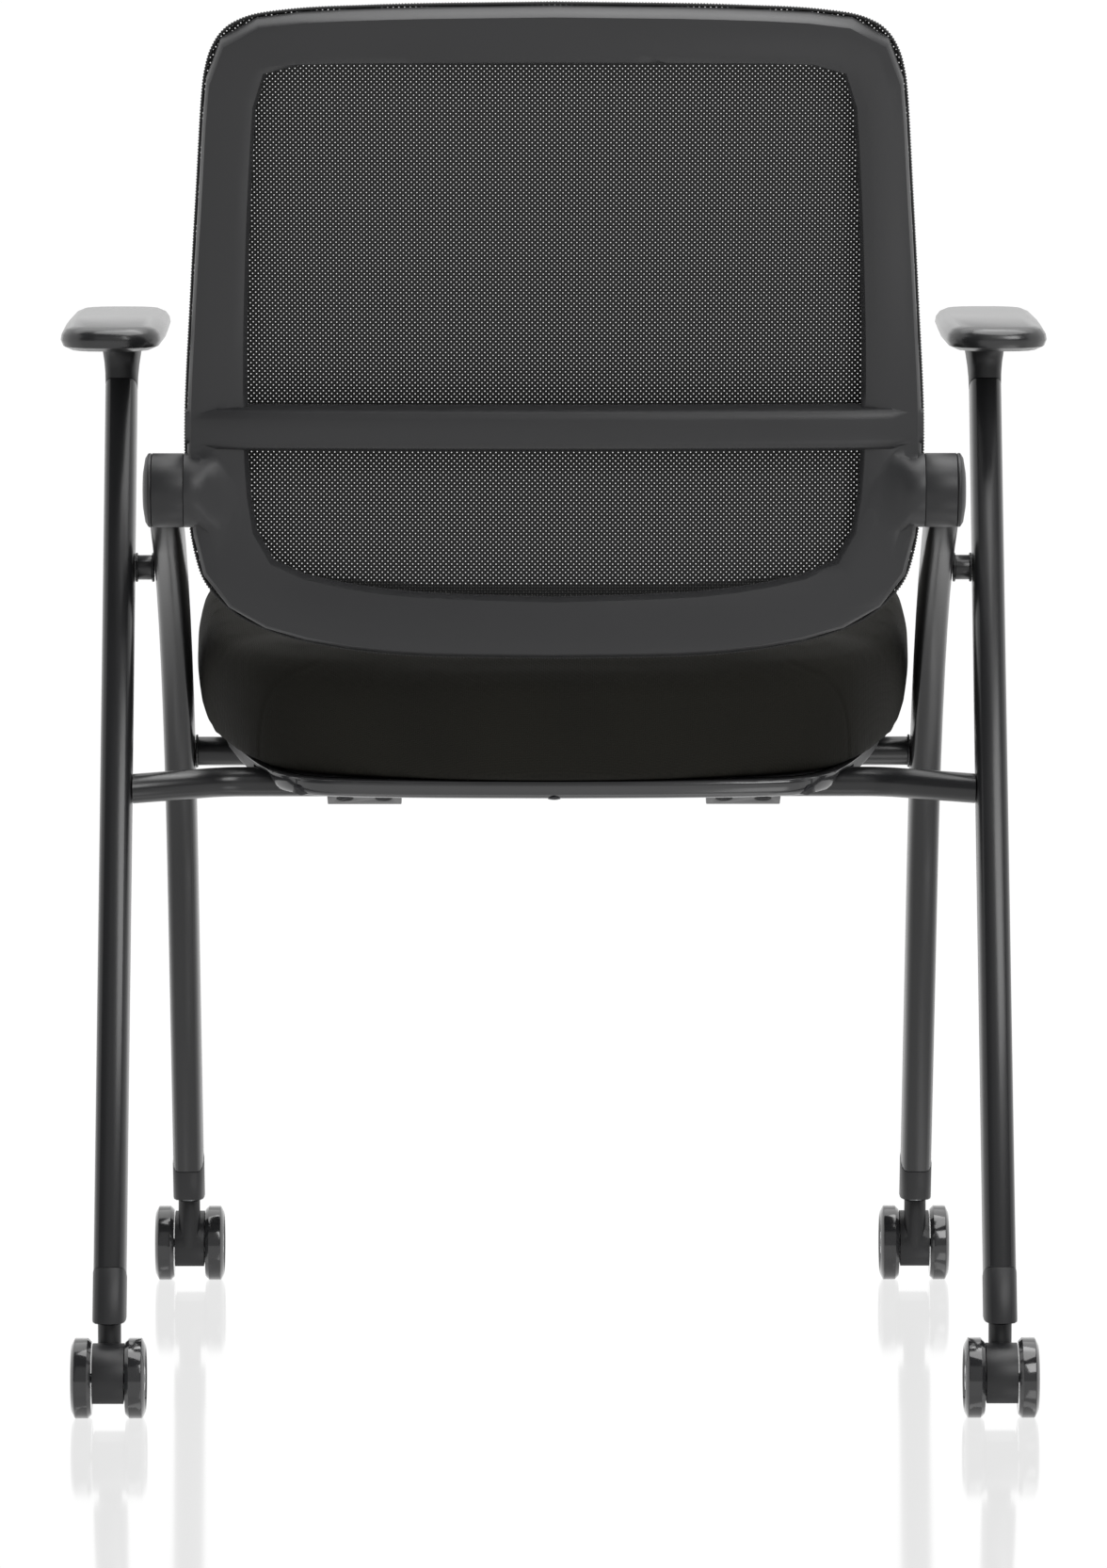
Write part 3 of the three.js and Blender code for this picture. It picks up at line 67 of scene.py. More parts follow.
def linear(colour: str) -> Colour:
    """Turns an sRGB hex colour into linear red, green, blue and alpha.

    Args:
        colour: Six hex digits after a hash sign.

    Returns:
        Four numbers from 0 to 1, with an alpha of 1.
    """
    parts = [int(colour[i : i + 2], 16) / 255 for i in (1, 3, 5)]
    red, green, blue = (c / 12.92 if c <= 0.04045 else ((c + 0.055) / 1.055) ** 2.4 for c in parts)
    return (red, green, blue, 1.0)


def shaded(colour: Colour, factor: float) -> Colour:
    """Gives a colour made darker or lighter by a factor."""
    return (colour[0] * factor, colour[1] * factor, colour[2] * factor, 1.0)


def joint(name: str) -> dict[str, Any]:
    """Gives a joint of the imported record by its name."""
    return next(j for j in frame["record"]["behaviour"]["joints"] if j["name"] == name)


# Materials

PATCH_SIZE = 71.4  # of the patches in which a surface's colour and gloss drift, in millimetres
PATCH_DETAIL = 6.0
PATCH_SHARE = 0.6  # of the drift in the colour's variation, and the texture has the rest
GLOSS_DRIFT = 0.1
BUMP_STRENGTH = 0.6
BRUSH_LENGTH = 20  # of a brushed line, in widths
PLY_WAVINESS = 0.6
WANDER_RUN = 14.3  # yarns after which a yarn wanders the other way
WANDER_REACH = 0.5  # how far it wanders, in yarns


class Grain(Enum):
    """Surface textures that the chair's finishes have."""

    PEEL = "the faint orange peel of powder coat"
    SPARK = "the fine even pits of a spark-eroded mould"
    SOFT = "the soft grain of moulded polyurethane"
    POLISH = "a polished mould with faint flow waves"
    BRUSH = "fine lines along a drawn or turned bar"
    TWILL = "a close twill weave"
    PLIES = "layers of veneer with a fine grain"


class Tree:
    """A node tree that is filled one node at a time."""

    def __init__(self, owner: Any) -> None:
        """Empties the owner's node tree.

        Args:
            owner: A material or a world.
        """
        owner.use_nodes = True
        self.tree = owner.node_tree
        self.tree.nodes.clear()

    def add(self, kind: str, inputs: Optional[dict[Any, Any]] = None, **settings: Any) -> bpy.types.Node:
        """Adds a node.

        Args:
            kind: The node's type without its Shader prefix, such as NodeBump.
            inputs: What each input gets: a value, or an output socket to link.
            settings: The node's own settings.

        Returns:
            The new node.
        """
        node = self.tree.nodes.new("Shader" + kind)
        for key, value in settings.items():
            setattr(node, key, value)
        for key, value in (inputs or {}).items():
            if isinstance(value, Socket):
                self.tree.links.new(value, node.inputs[key])
            else:
                node.inputs[key].default_value = value
        return node

    def math(self, operation: str, first: Any, second: Any = 0.0) -> Socket:
        """Adds a Math node and gives its output."""
        return self.add("NodeMath", {0: first, 1: second}, operation=operation).outputs[0]

    def share(self, value: Socket) -> Socket:
        """Takes a value between -1 and 1 to one between 0 and 1."""
        return self.math("ADD", self.math("MULTIPLY", value, 0.5), 0.5)

    def ramp(self, value: Socket, stops: Sequence[tuple[float, Any]]) -> Socket:
        """Adds a colour ramp.

        Args:
            value: What drives the ramp.
            stops: Positions with their grey value or their linear colour.

        Returns:
            The colour output's socket.
        """
        node = self.add("NodeValToRGB", {"Fac": value})
        elements = node.color_ramp.elements
        while len(elements) < len(stops):
            elements.new(0.5)
        for element, (place, colour) in zip(elements, stops):
            element.position = place
            element.color = colour if isinstance(colour, tuple) else (colour, colour, colour, 1)
        return node.outputs["Color"]


class Surface:
    """What a piece is seen to be made of. Each kind builds its own shader."""

    name: str

    def shader(self, tree: Tree) -> Socket:
        """Builds the shader, and is written anew in each kind.

        Args:
            tree: The material's node tree.

        Returns:
            The shader's socket.
        """
        raise NotImplementedError

    def material(self) -> bpy.types.Material:
        """Makes the material.

        Returns:
            The new material.
        """
        made = bpy.data.materials.new(self.name)
        tree = Tree(made)
        tree.add("NodeOutputMaterial", {"Surface": self.shader(tree)})
        return made


@dataclass(frozen=True)
class Finish(Surface):
    """A real finish: its colour, how much that varies, its gloss and its surface texture."""

    name: str
    colour: str
    grain: Grain
    roughness: float
    grain_size: float  # from one feature of the texture to the next, in millimetres
    depth: float  # of the texture, in millimetres
    spread: float  # share by which the colour varies from place to place
    metallic: float = 0.0
    specular: float = 0.5
    coat: float = 0.0
    coat_roughness: float = 0.1

    def height(self, tree: Tree, place: Socket) -> Socket:
        """Builds the surface texture.

        Args:
            tree: The material's node tree.
            place: The place on the surface, in metres.

        Returns:
            The height, from 0 to 1.
        """
        scale = 1 / (self.grain_size * MM)
        if self.grain is Grain.SOFT:
            node = tree.add("NodeTexVoronoi", {"Vector": place, "Scale": scale}, feature="DISTANCE_TO_EDGE")
            return node.outputs["Distance"]
        if self.grain is Grain.TWILL:
            return self.twill(tree, place)
        if self.grain is Grain.BRUSH:
            size = (scale / BRUSH_LENGTH, scale, scale)
            place = tree.add("NodeMapping", {"Vector": place, "Scale": size}).outputs[0]
            return tree.add("NodeTexNoise", {"Vector": place, "Scale": 1.0, "Detail": 3.0}).outputs["Fac"]
        if self.grain is Grain.PLIES:
            inputs = {"Vector": place, "Scale": scale, "Distortion": PLY_WAVINESS}
            return tree.add("NodeTexWave", inputs, bands_direction="Z").outputs["Fac"]
        detail = {Grain.PEEL: 1.0, Grain.SPARK: 5.0, Grain.POLISH: 0.0}[self.grain]
        return tree.add("NodeTexNoise", {"Vector": place, "Scale": scale, "Detail": detail}).outputs["Fac"]

    def twill(self, tree: Tree, place: Socket) -> Socket:
        """Builds a twill: yarns along x and y whose floats step by one at each pass.

        Args:
            tree: The material's node tree.
            place: The place on the surface, in metres.

        Returns:
            The height, from 0 to 1.
        """
        yarn = self.grain_size * MM
        inputs = {"Vector": place, "Scale": 1 / (yarn * WANDER_RUN)}
        wander = tree.add("NodeTexNoise", inputs).outputs["Color"]
        shift = tree.add("NodeVectorMath", {0: wander, "Scale": yarn * WANDER_REACH}, operation="SCALE")
        bent = tree.add("NodeVectorMath", {0: place, 1: shift.outputs[0]}, operation="ADD").outputs[0]
        parts = tree.add("NodeSeparateXYZ", {0: bent}).outputs
        across, along, up = (tree.math("MULTIPLY", parts[i], math.pi / yarn) for i in range(3))
        run = tree.math("ADD", along, up)
        warp = tree.math("ABSOLUTE", tree.math("SINE", across))
        weft = tree.math("ABSOLUTE", tree.math("SINE", run))
        both = tree.math("ADD", tree.math("MULTIPLY", across, 0.5), tree.math("MULTIPLY", run, 0.5))
        over = tree.share(tree.math("SINE", both))
        under = tree.math("SUBTRACT", 1.0, over)
        return tree.math("ADD", tree.math("MULTIPLY", warp, over), tree.math("MULTIPLY", weft, under))

    def shader(self, tree: Tree) -> Socket:
        """Builds the shader.

        Args:
            tree: The material's node tree.

        Returns:
            The shader's socket.
        """
        place = tree.add("NodeTexCoord").outputs["Object"]
        height = self.height(tree, place)
        inputs = {"Vector": place, "Scale": 1 / (PATCH_SIZE * MM), "Detail": PATCH_DETAIL}
        patches = tree.add("NodeTexNoise", inputs).outputs["Fac"]
        shares = tree.math("MULTIPLY", patches, PATCH_SHARE), tree.math("MULTIPLY", height, 1 - PATCH_SHARE)
        dark, light = (shaded(linear(self.colour), 1 + sign * self.spread) for sign in (-1, 1))
        colour = tree.ramp(tree.math("ADD", *shares), [(0.25, dark), (0.75, light)])
        dull, bright = self.roughness * (1 - GLOSS_DRIFT), self.roughness * (1 + GLOSS_DRIFT)
        gloss = tree.add("NodeMapRange", {"Value": patches, "To Min": dull, "To Max": bright}).outputs[0]
        relief = {"Height": height, "Strength": BUMP_STRENGTH, "Distance": self.depth * MM}
        bump = tree.add("NodeBump", relief)
        return tree.add("NodeBsdfPrincipled", {
            "Base Color": colour,
            "Roughness": gloss,
            "Normal": bump.outputs[0],
            "Metallic": self.metallic,
            "Specular IOR Level": self.specular,
            "Coat Weight": self.coat,
            "Coat Roughness": self.coat_roughness,
        }).outputs[0]


# Black polyester powder coat, sprayed and baked on the steel tubes: an even satin with soft long highlights.
# Its orange peel waves every 1.4 mm, as the real one does.
POWDER_COAT = Finish(
    "powder_coat", "#1a1a1b", Grain.PEEL, 0.3, 1.43, 0.03, 0.08, specular=0.42, coat=0.2, coat_roughness=0.16
)
# Glass-filled nylon of the back frame, pan and clamps, from a spark-eroded mould: dark grey, dull and even.
# The pits of such moulds are about 0.1 mm, and are drawn coarser here and below so that they show.
GREY_NYLON = Finish("grey_nylon", "#242425", Grain.SPARK, 0.42, 0.385, 0.04, 0.07, specular=0.42)
# The same nylon where the lip comes from a polished part of the mould, whose gloss gives a thin light line
# along its lower edge; its colour is a shade lighter than the grey's, as painted light on the lit lip
LIP_NYLON = Finish("lip_nylon", "#262627", Grain.SPARK, 0.2, 0.385, 0.01, 0.05, specular=0.6, coat=0.5)
# Black nylon of sleeves, arm posts, drums and caster housings, moulded with fine pits:
# dull and even, and a shade darker than the grey
BLACK_NYLON = Finish("black_nylon", "#1e1e1f", Grain.SPARK, 0.42, 0.385, 0.04, 0.08, specular=0.4)
# Black polypropylene of the caster wheels, from a polished mould: small sharp highlights,
# bent a little by flow waves every 4 mm or so
WHEEL_GLOSS = Finish(
    "wheel_gloss", "#1f1f20", Grain.POLISH, 0.14, 3.85, 0.04, 0.06, coat=0.5, coat_roughness=0.06
)
# Integral-skin polyurethane of the arm pads, foamed in a mould: smooth and silky, with grain cells of 0.7 mm
PAD_SKIN = Finish("pad_skin", "#1f1f20", Grain.SOFT, 0.28, 0.667, 0.04, 0.08, coat=0.4, coat_roughness=0.18)
# Polyester seat fabric, close-woven: a deep dull black with a warm tinge and no highlight.
# Its yarns lie about 0.5 mm apart, and are drawn at twice that so that they show.
SEAT_CLOTH = Finish("seat_cloth", "#171612", Grain.TWILL, 0.86, 1.11, 0.3, 0.3, specular=0.14)
# Birch plywood of the seat board, peeled and pressed: pale, with bands of veneer across its edge
BIRCH_PLY = Finish("birch_ply", "#b89468", Grain.PLIES, 0.65, 2.78, 0.1, 0.25)
# Natural rubber of the seat buffers, moulded: matt, with pits drawn coarser than real
RUBBER = Finish("buffer_rubber", "#191919", Grain.SPARK, 0.8, 0.556, 0.08, 0.15)
# Zinc-plated steel of axles, spindles and springs, drawn: bright, with fine lines drawn coarser than real
ZINC = Finish("zinc_steel", "#9a9c9e", Grain.BRUSH, 0.32, 0.333, 0.02, 0.12, metallic=1.0)
# Black-oxide steel of the screws, turned: near black with a dark metallic glint
OXIDE = Finish("oxide_steel", "#2b2b2d", Grain.BRUSH, 0.4, 0.333, 0.02, 0.15, metallic=0.8)
# Polyester tape of the mesh's welted edge, woven: dull dark grey, its yarns 0.7 mm apart
EDGE_TAPE = Finish("edge_tape", "#2c2c2c", Grain.TWILL, 0.8, 0.714, 0.2, 0.3, specular=0.3)


@dataclass(frozen=True)
class OpenMesh(Surface):
    """The back's knitted polyester mesh: black yarns round staggered cells that let the light through."""

    name: str = "back_mesh_weave"
    colour: str = "#0f0f0f"
    pitch: float = 1.75  # from cell to cell along a row, in millimetres
    open_from: float = 0.7  # height of the cell pattern at which it starts to open
    open_over: float = 0.26  # how much higher it is fully open
    depth: float = 0.3  # of the yarns, in millimetres
    painted_hollow_shade: float = 0.5  # factors on the colour: painted shade between the yarns and painted highlight on top of them
    painted_crest_highlight: float = 2.2
    relief: float = 0.7  # strength of the bump
    roughness: float = 0.6
    specular: float = 0.3

    def shader(self, tree: Tree) -> Socket:
        """Builds the shader, which is clear in the open cells.

        Args:
            tree: The material's node tree.

        Returns:
            The shader's socket.
        """
        place = tree.add("NodeUVMap", uv_map="weave").outputs[0]
        parts = tree.add("NodeSeparateXYZ", {0: place}).outputs
        across, along = (tree.math("MULTIPLY", parts[i], math.pi / (self.pitch * MM)) for i in range(2))
        cells = tree.math("MULTIPLY", tree.math("COSINE", across), tree.math("COSINE", along))
        solid = tree.add("NodeMapRange", {
            "Value": cells,
            "From Min": self.open_from,
            "From Max": self.open_from + self.open_over,
            "To Min": 1.0,
            "To Max": 0.0,
        }).outputs[0]
        yarn = tree.math("ABSOLUTE", cells)
        # painted shade between the yarns and painted highlight on their tops: the yarn colour follows the
        # yarns' height
        painted_hollow_shade, painted_crest_highlight = (shaded(linear(self.colour), factor) for factor in (self.painted_hollow_shade, self.painted_crest_highlight))
        bump = tree.add("NodeBump", {"Height": yarn, "Strength": self.relief, "Distance": self.depth * MM})
        return tree.add("NodeBsdfPrincipled", {
            "Base Color": tree.ramp(yarn, [(0.0, painted_hollow_shade), (0.5, painted_crest_highlight)]),
            "Roughness": self.roughness,
            "Alpha": solid,
            "Normal": bump.outputs[0],
            "Specular IOR Level": self.specular,
        }).outputs[0]


@dataclass(frozen=True)
class WhiteFloor(Surface):
    """The studio's floor: white by itself, with a thin clear gloss that mirrors what stands on it."""

    name: str = "white_floor"
    strength: float = 0.78
    mirror: float = 0.24
    roughness: float = 0.08

    def shader(self, tree: Tree) -> Socket:
        """Builds the shader.

        Args:
            tree: The material's node tree.

        Returns:
            The shader's socket.
        """
        grey = (self.mirror, self.mirror, self.mirror, 1)
        white = tree.add("NodeEmission", {"Color": (1, 1, 1, 1), "Strength": self.strength})
        mirror = tree.add("NodeBsdfAnisotropic", {"Color": grey, "Roughness": self.roughness})
        return tree.add("NodeAddShader", {0: white.outputs[0], 1: mirror.outputs[0]}).outputs[0]


FINISH_OF_SLOT: dict[str, Finish] = {
    "black_powder_coat": POWDER_COAT,
    "black_plastic": BLACK_NYLON,
    "grey_plastic": GREY_NYLON,
    "caster_wheel": WHEEL_GLOSS,
    "arm_pad": PAD_SKIN,
    "back_mesh": EDGE_TAPE,
    "seat_fabric": SEAT_CLOTH,
    "plywood": BIRCH_PLY,
    "rubber": RUBBER,
    "steel": ZINC,
}


class Materials:
    """Makes each finish's material once."""

    def __init__(self) -> None:
        """Starts with no material."""
        self.made: dict[str, bpy.types.Material] = {}

    def get(self, finish: Surface) -> bpy.types.Material:
        """Gives a finish's material.

        Args:
            finish: The finish.

        Returns:
            Its material, made at the first call.
        """
        if finish.name not in self.made:
            self.made[finish.name] = finish.material()
        return self.made[finish.name]


MATERIALS = Materials()


# Outlines and lofts

CURVE_STEPS = 24  # from one given point of a curve to the next


def spaced(points: Points, count: int) -> list[Vector]:
    """Runs a smooth curve through points and divides it evenly.

    Args:
        points: The curve's points.
        count: How many stretches the curve is divided into.

    Returns:
        One point more than that.
    """
    given = [Vector(p) for p in points]
    fine: list[Vector] = [given[0]]
    for i in range(len(given) - 1):
        a, b = given[max(i - 1, 0)], given[i]
        c, d = given[i + 1], given[min(i + 2, len(given) - 1)]
        for k in range(1, CURVE_STEPS + 1):
            t = k / CURVE_STEPS
            start, end = (c - a) / 2, (d - b) / 2
            cubic = (2 * b - 2 * c + start + end) * t**3 + (-3 * b + 3 * c - 2 * start - end) * t**2
            fine.append(cubic + start * t + b)
    total = [0.0]
    for p, q in zip(fine, fine[1:]):
        total.append(total[-1] + (q - p).length)
    found, at = [fine[0]], 0
    for k in range(1, count):
        want = total[-1] * k / count
        while total[at + 1] < want:
            at += 1
        found.append(fine[at].lerp(fine[at + 1], (want - total[at]) / (total[at + 1] - total[at])))
    return found + [fine[-1]]


def outline(shares: Points, half_width: float, low: float, height: float, count: int) -> Ring:
    """Builds a closed outline that is the same left and right.

    Args:
        shares: Its right half, as shares of its half width and height.
        half_width: Half its width.
        low: Where it starts.
        height: How far it runs from there.
        count: Stretches in one half.

    Returns:
        The outline's points.
    """
    half = spaced(tuple((x * half_width, low + y * height) for x, y in shares), count)
    half[0].x = half[-1].x = 0.0
    return half + [Vector((-p.x, p.y)) for p in reversed(half[1:-1])]


def grown(ring: Ring, distance: float) -> Ring:
    """Moves a plane ring out, square to its own run.

    Args:
        ring: The ring's points.
        distance: How far out.

    Returns:
        The moved points.
    """
    area = sum(p.x * q.y - q.x * p.y for p, q in zip(ring, ring[1:] + ring[:1]))
    turn = distance if area > 0 else -distance
    moved = []
    for i, p in enumerate(ring):
        run = (ring[(i + 1) % len(ring)] - ring[i - 1]).normalized()
        moved.append(Vector((p.x + run.y * turn, p.y - run.x * turn)))
    return moved


def piece(
    name: str, points: Sequence[Vector], faces: Sequence[Sequence[int]], finish: Surface
) -> Piece:
    """Makes a smooth-shaded mesh object in the scene.

    Args:
        name: The piece's name.
        points: Its points, in metres.
        faces: Its faces.
        finish: Its finish.

    Returns:
        The new object.
    """
    mesh = bpy.data.meshes.new(name)
    mesh.from_pydata([tuple(p) for p in points], [], [tuple(f) for f in faces])
    mesh.polygons.foreach_set("use_smooth", [True] * len(mesh.polygons))
    mesh.materials.append(MATERIALS.get(finish))
    mesh.validate()
    made = bpy.data.objects.new(name, mesh)
    bpy.context.scene.collection.objects.link(made)
    return made


def loft(
    rings: Sequence[Ring], closed: bool = False, lids: bool = True
) -> tuple[list[Vector], list[list[int]]]:
    """Joins rings into a skin.

    Args:
        rings: Rings of as many points each.
        closed: Whether the last ring joins the first.
        lids: Whether the ends are closed with a face.

    Returns:
        The points and the faces.
    """
    n = len(rings[0])
    points = [p for ring in rings for p in ring]
    faces = []
    for r in range(len(rings) if closed else len(rings) - 1):
        s = (r + 1) % len(rings)
        faces += [[r * n + i, r * n + (i + 1) % n, s * n + (i + 1) % n, s * n + i] for i in range(n)]
    if lids and not closed:
        faces.append(list(range(n))[::-1])
        faces.append([(len(rings) - 1) * n + i for i in range(n)])
    return points, faces


def outward(made: Piece) -> Piece:
    """Turns all faces of a closed piece outwards.

    Args:
        made: The piece.

    Returns:
        The same piece.
    """
    work = bmesh.new()
    work.from_mesh(made.data)
    bmesh.ops.recalc_face_normals(work, faces=work.faces)
    work.to_mesh(made.data)
    work.free()
    return made


# Sub-assemblies


@dataclass
class Back:
    """The back's curved surface, its stretched mesh and the mesh's toothed edge. Sizes in millimetres."""

    width: float = 462
    bottom: float = 469
    top: float = 878.6
    depth: float = 18
    bow: float = 12  # how far its sides stand in front of its middle
    bend_start: float = 560
    bend_radius: float = 500
    lean: float = math.radians(18)
    mesh_lift: float = 0.9
    mesh_overlap: float = 1.0
    mesh_layers: int = 26
    tooth_pitch: float = 1.9
    tooth: float = 0.8
    edge_gap: float = 0.3
    edge_width: float = 1.1
    edge_depth: float = 1.6
    tooth_from: float = 0.6  # shares of the edge's depth over which a tooth stands out
    tooth_to: float = 0.3
    stations: int = 420
    outline_shares: Points = (
        (0, 1), (0.35, 0.9975), (0.52, 0.9945), (0.63, 0.992), (0.715, 0.988), (0.8, 0.981), (0.853, 0.97),
        (0.885, 0.957), (0.909, 0.938), (0.928, 0.91), (0.942, 0.86), (0.96, 0.72), (0.98, 0.56), (1, 0.37),
        (0.996, 0.24), (0.975, 0.155), (0.935, 0.102), (0.835, 0.054), (0.66, 0.022), (0.4, 0.004), (0, 0),
    )

    def surface(self, x: float, z: float, front: float) -> tuple[Vector, float]:
        """Finds a place on the back.

        Args:
            x: Place across.
            z: Height on the frame's middle surface.
            front: Distance in front of that surface.

        Returns:
            The place in metres, and how far up along the surface it is.
        """
        axis = joint("back_tilt")["pos_m"][1] / MM
        bend_top = self.bend_start + self.bend_radius * math.sin(self.lean)
        if z <= self.bend_start:
            run, turn, length = 0.0, 0.0, z
        elif z <= bend_top:
            turn = math.asin((z - self.bend_start) / self.bend_radius)
            run = -self.bend_radius * (1 - math.cos(turn))
            length = self.bend_start + self.bend_radius * turn
        else:
            turn = self.lean
            run = -self.bend_radius * (1 - math.cos(turn)) - (z - bend_top) * math.tan(turn)
            length = self.bend_start + self.bend_radius * turn + (z - bend_top) / math.cos(turn)
        curve = self.bow * (2 * x / self.width) ** 2 - self.bow
        y = axis + curve + run + front * math.cos(turn)
        return Vector((x, y, z + front * math.sin(turn))) * MM, length * MM

    def rim(self, count: int) -> Ring:
        """Gives the frame's outline with so many stretches in each half, in millimetres across and up."""
        return outline(self.outline_shares, self.width / 2, self.bottom, self.top - self.bottom, count)

    def mesh(self) -> Piece:
        """Returns:
            The mesh panel.
        """
        rim = grown(self.rim(self.stations), self.mesh_overlap)
        middle = Vector((0, (self.bottom + self.top) / 2))
        layers = self.mesh_layers
        places = [middle.lerp(p, 1 - k / layers) for k in range(layers) for p in rim] + [middle]
        found = [self.surface(p.x, p.y, self.depth / 2 + self.mesh_lift) for p in places]
        n = len(rim)
        _, faces = loft([rim] * layers, lids=False)
        start = (layers - 1) * n
        faces += [[start + i, start + (i + 1) % n, layers * n] for i in range(n)]
        made = piece("stretched_mesh", [p for p, _ in found], faces, OpenMesh())
        layer = made.data.uv_layers.new(name="weave")
        for loop in made.data.loops:
            point, length = found[loop.vertex_index]
            layer.data[loop.index].uv = (point.x, length)
        spans = zip(*((point.x, length) for point, length in found))
        wide, high = (max(span) - min(span) for span in spans)
        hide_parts("back_mesh")
        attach(made, "back")
        return made

    def edge(self) -> Piece:
        """Builds the toothed edge that shows round the frame.

        Returns:
            The edge piece.
        """
        rim = self.rim(self.stations)
        run = sum((q - p).length for p, q in zip(rim, rim[1:] + rim[:1]))
        fine = self.rim(int(run / self.tooth_pitch))
        inside, outside = grown(fine, self.edge_gap), grown(fine, self.edge_gap + self.edge_width)
        teeth = grown(fine, self.edge_gap + self.edge_width + self.tooth)
        front = self.depth / 2 - self.edge_gap / 2
        rear = front - self.edge_depth
        tooth_rear = front - self.edge_depth * self.tooth_from
        tooth_front = front - self.edge_depth * self.tooth_to
        rings = []
        for i, p in enumerate(inside):
            out = teeth[i] if i % 2 else outside[i]
            corners = [
                (p, rear), (outside[i], rear), (out, tooth_rear), (out, tooth_front),
                (outside[i], front), (p, front),
            ]
            rings.append([self.surface(q.x, q.y, f)[0] for q, f in corners])
        made = outward(piece("toothed_edge", *loft(rings, closed=True), EDGE_TAPE))
        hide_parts("mesh_edging")
        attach(made, "back")
        return made


@dataclass
class Seat:
    """The cushion, the pan's rear lip and its screws, in the seat's own frame. Sizes in millimetres."""

    tilt: float = math.radians(4)
    rear: float = 64
    length: float = 428
    width: float = 436
    pan_top: float = 12.0
    gap: float = 0.3
    board_inset: float = 24
    board_room: float = 12.6
    bulge: float = 16.6
    shrink: float = 0.8  # how much smaller the cushion is before it is filled
    shrink_from: float = 0.125  # share of its height over which it draws in by that
    stations: int = 70
    voxel: float = 5
    # Filling: how stiff the cover is, how hard the foam presses, and for how many steps
    cover_mass: float = 0.3
    cover_stiffness: float = 20
    cover_bending: float = 0.6
    pressure: float = 4
    filling_steps: int = 20
    cloth_quality: int = 5
    swell_cap: float = 9
    evening: int = 60  # passes over the swelling
    held_low: float = 4  # height over the pan up to which the cover is held
    held_room: float = 2  # height over the board up to which the underside is held
    held_inset: float = 18
    held_width: float = 0.8  # share of the seat's width
    # The seam: its groove, and how far from the front of the rear panel it may be
    seam_depth: float = 0.9
    seam_reach: float = 2.8
    seam_stations: int = 90
    seam_start: float = 120  # behind the pan, from where it is cast onto the cushion
    seam_front: float = 60
    # The screws in the lip
    recess_spacing: float = 164
    recess_radius: float = 4.4
    recess_sunk: float = 1.2
    head_height: float = 1.7
    socket_depth: float = 1.1
    # How each sits: inwards from the rim, up from the hinge axis, and how far it faces down
    recess_middle: tuple[float, float, float] = (4.6, 0.4, math.radians(72))
    recess_side: tuple[float, float, float] = (0.9, 3.1, math.radians(32))
    # The pan's outline in plan, as shares of half its width and of its length
    rim_shares: Points = (
        (0, 0), (0.36, 0.004), (0.6, 0.014), (0.72, 0.03), (0.8, 0.066), (0.86, 0.13), (0.925, 0.25),
        (0.98, 0.4), (1, 0.56), (0.995, 0.74), (0.965, 0.87), (0.9, 0.945), (0.78, 0.982), (0.55, 0.996),
        (0, 1),
    )
    # The cushion's outline where it sits on the pan: rounder than the pan in its rear corners
    cushion_shares: Points = (
        (0, 0.004), (0.2, 0.008), (0.4, 0.022), (0.6, 0.046), (0.72, 0.072), (0.8, 0.11), (0.86, 0.168),
        (0.925, 0.266), (0.975, 0.38), (0.998, 0.5), (1, 0.6), (0.995, 0.74), (0.965, 0.87), (0.9, 0.945),
        (0.78, 0.982), (0.55, 0.996), (0, 1),
    )
    # The cushion's sides: up, as a share of its height, and out, as a share of its bulge
    side_shares: Points = (
        (0, 0.1), (0.05, 0.62), (0.2, 0.88), (0.42, 1), (0.7, 0.95), (0.85, 0.72), (0.94, 0.3), (0.985, -0.5),
    )
    # Sizes of the rings of its top, as shares of the shoulder
    top_shares: tuple[float, ...] = (0.9, 0.8, 0.68, 0.54, 0.38, 0.2, 0.08)
    # Heights of its top above the hinge axis, from rear to front: on its middle line and at its sides
    middle_tops: Points = (
        (-64, 88), (-40, 91), (0, 88), (40, 81), (110, 79), (170, 82), (210, 81), (250, 76), (300, 68),
        (340, 60), (380, 51),
    )
    side_tops: Points = (
        (-64, 90), (-40, 93), (0, 91), (50, 87), (100, 91), (160, 98), (210, 99), (260, 93), (300, 82),
        (340, 68), (380, 53),
    )
    # The lip: how far forward it runs, its walls, and where its lower edge rises to pass over the rear bar
    lip_stations: int = 200
    lip_reach: float = 96
    lip_proud: float = 0.3
    lip_wall: float = 1.4
    lip_floor: float = 0.4
    lip_roof: float = 0.3
    bar_room: float = 10.4
    bar_ahead: tuple[float, float] = (-31, -17)
    # Its section: out from the rim, and up from the hinge axis
    lip_section: Points = (
        (-9, 12.25), (-4, 12.25), (-1.6, 12), (-0.5, 11.2), (0, 10), (0, 7.6), (-0.4, 5.4), (-1, 3.6),
        (-1.9, 2.1), (-3.2, 1), (-5, 0.4), (-7, 0.2), (-9, 0.5), (-9.8, 1.1),
    )
    # The rear panel's arched seam: right half, across and up from the hinge axis
    seam: Points = (
        (189, 14), (188, 36), (185, 54), (179, 67), (168, 77), (150, 85),
    )

    def place(self, p: Vector) -> Vector:
        """Takes a point out of the seat's frame.

        Args:
            p: The point in the seat's frame, in millimetres.

        Returns:
            The point in the chair's frame, in metres.
        """
        _, y, z = joint("seat_flip")["pos_m"]
        c, s = math.cos(self.tilt), math.sin(self.tilt)
        return Vector((p.x * MM, y + (p.y * c - p.z * s) * MM, z + (p.y * s + p.z * c) * MM))

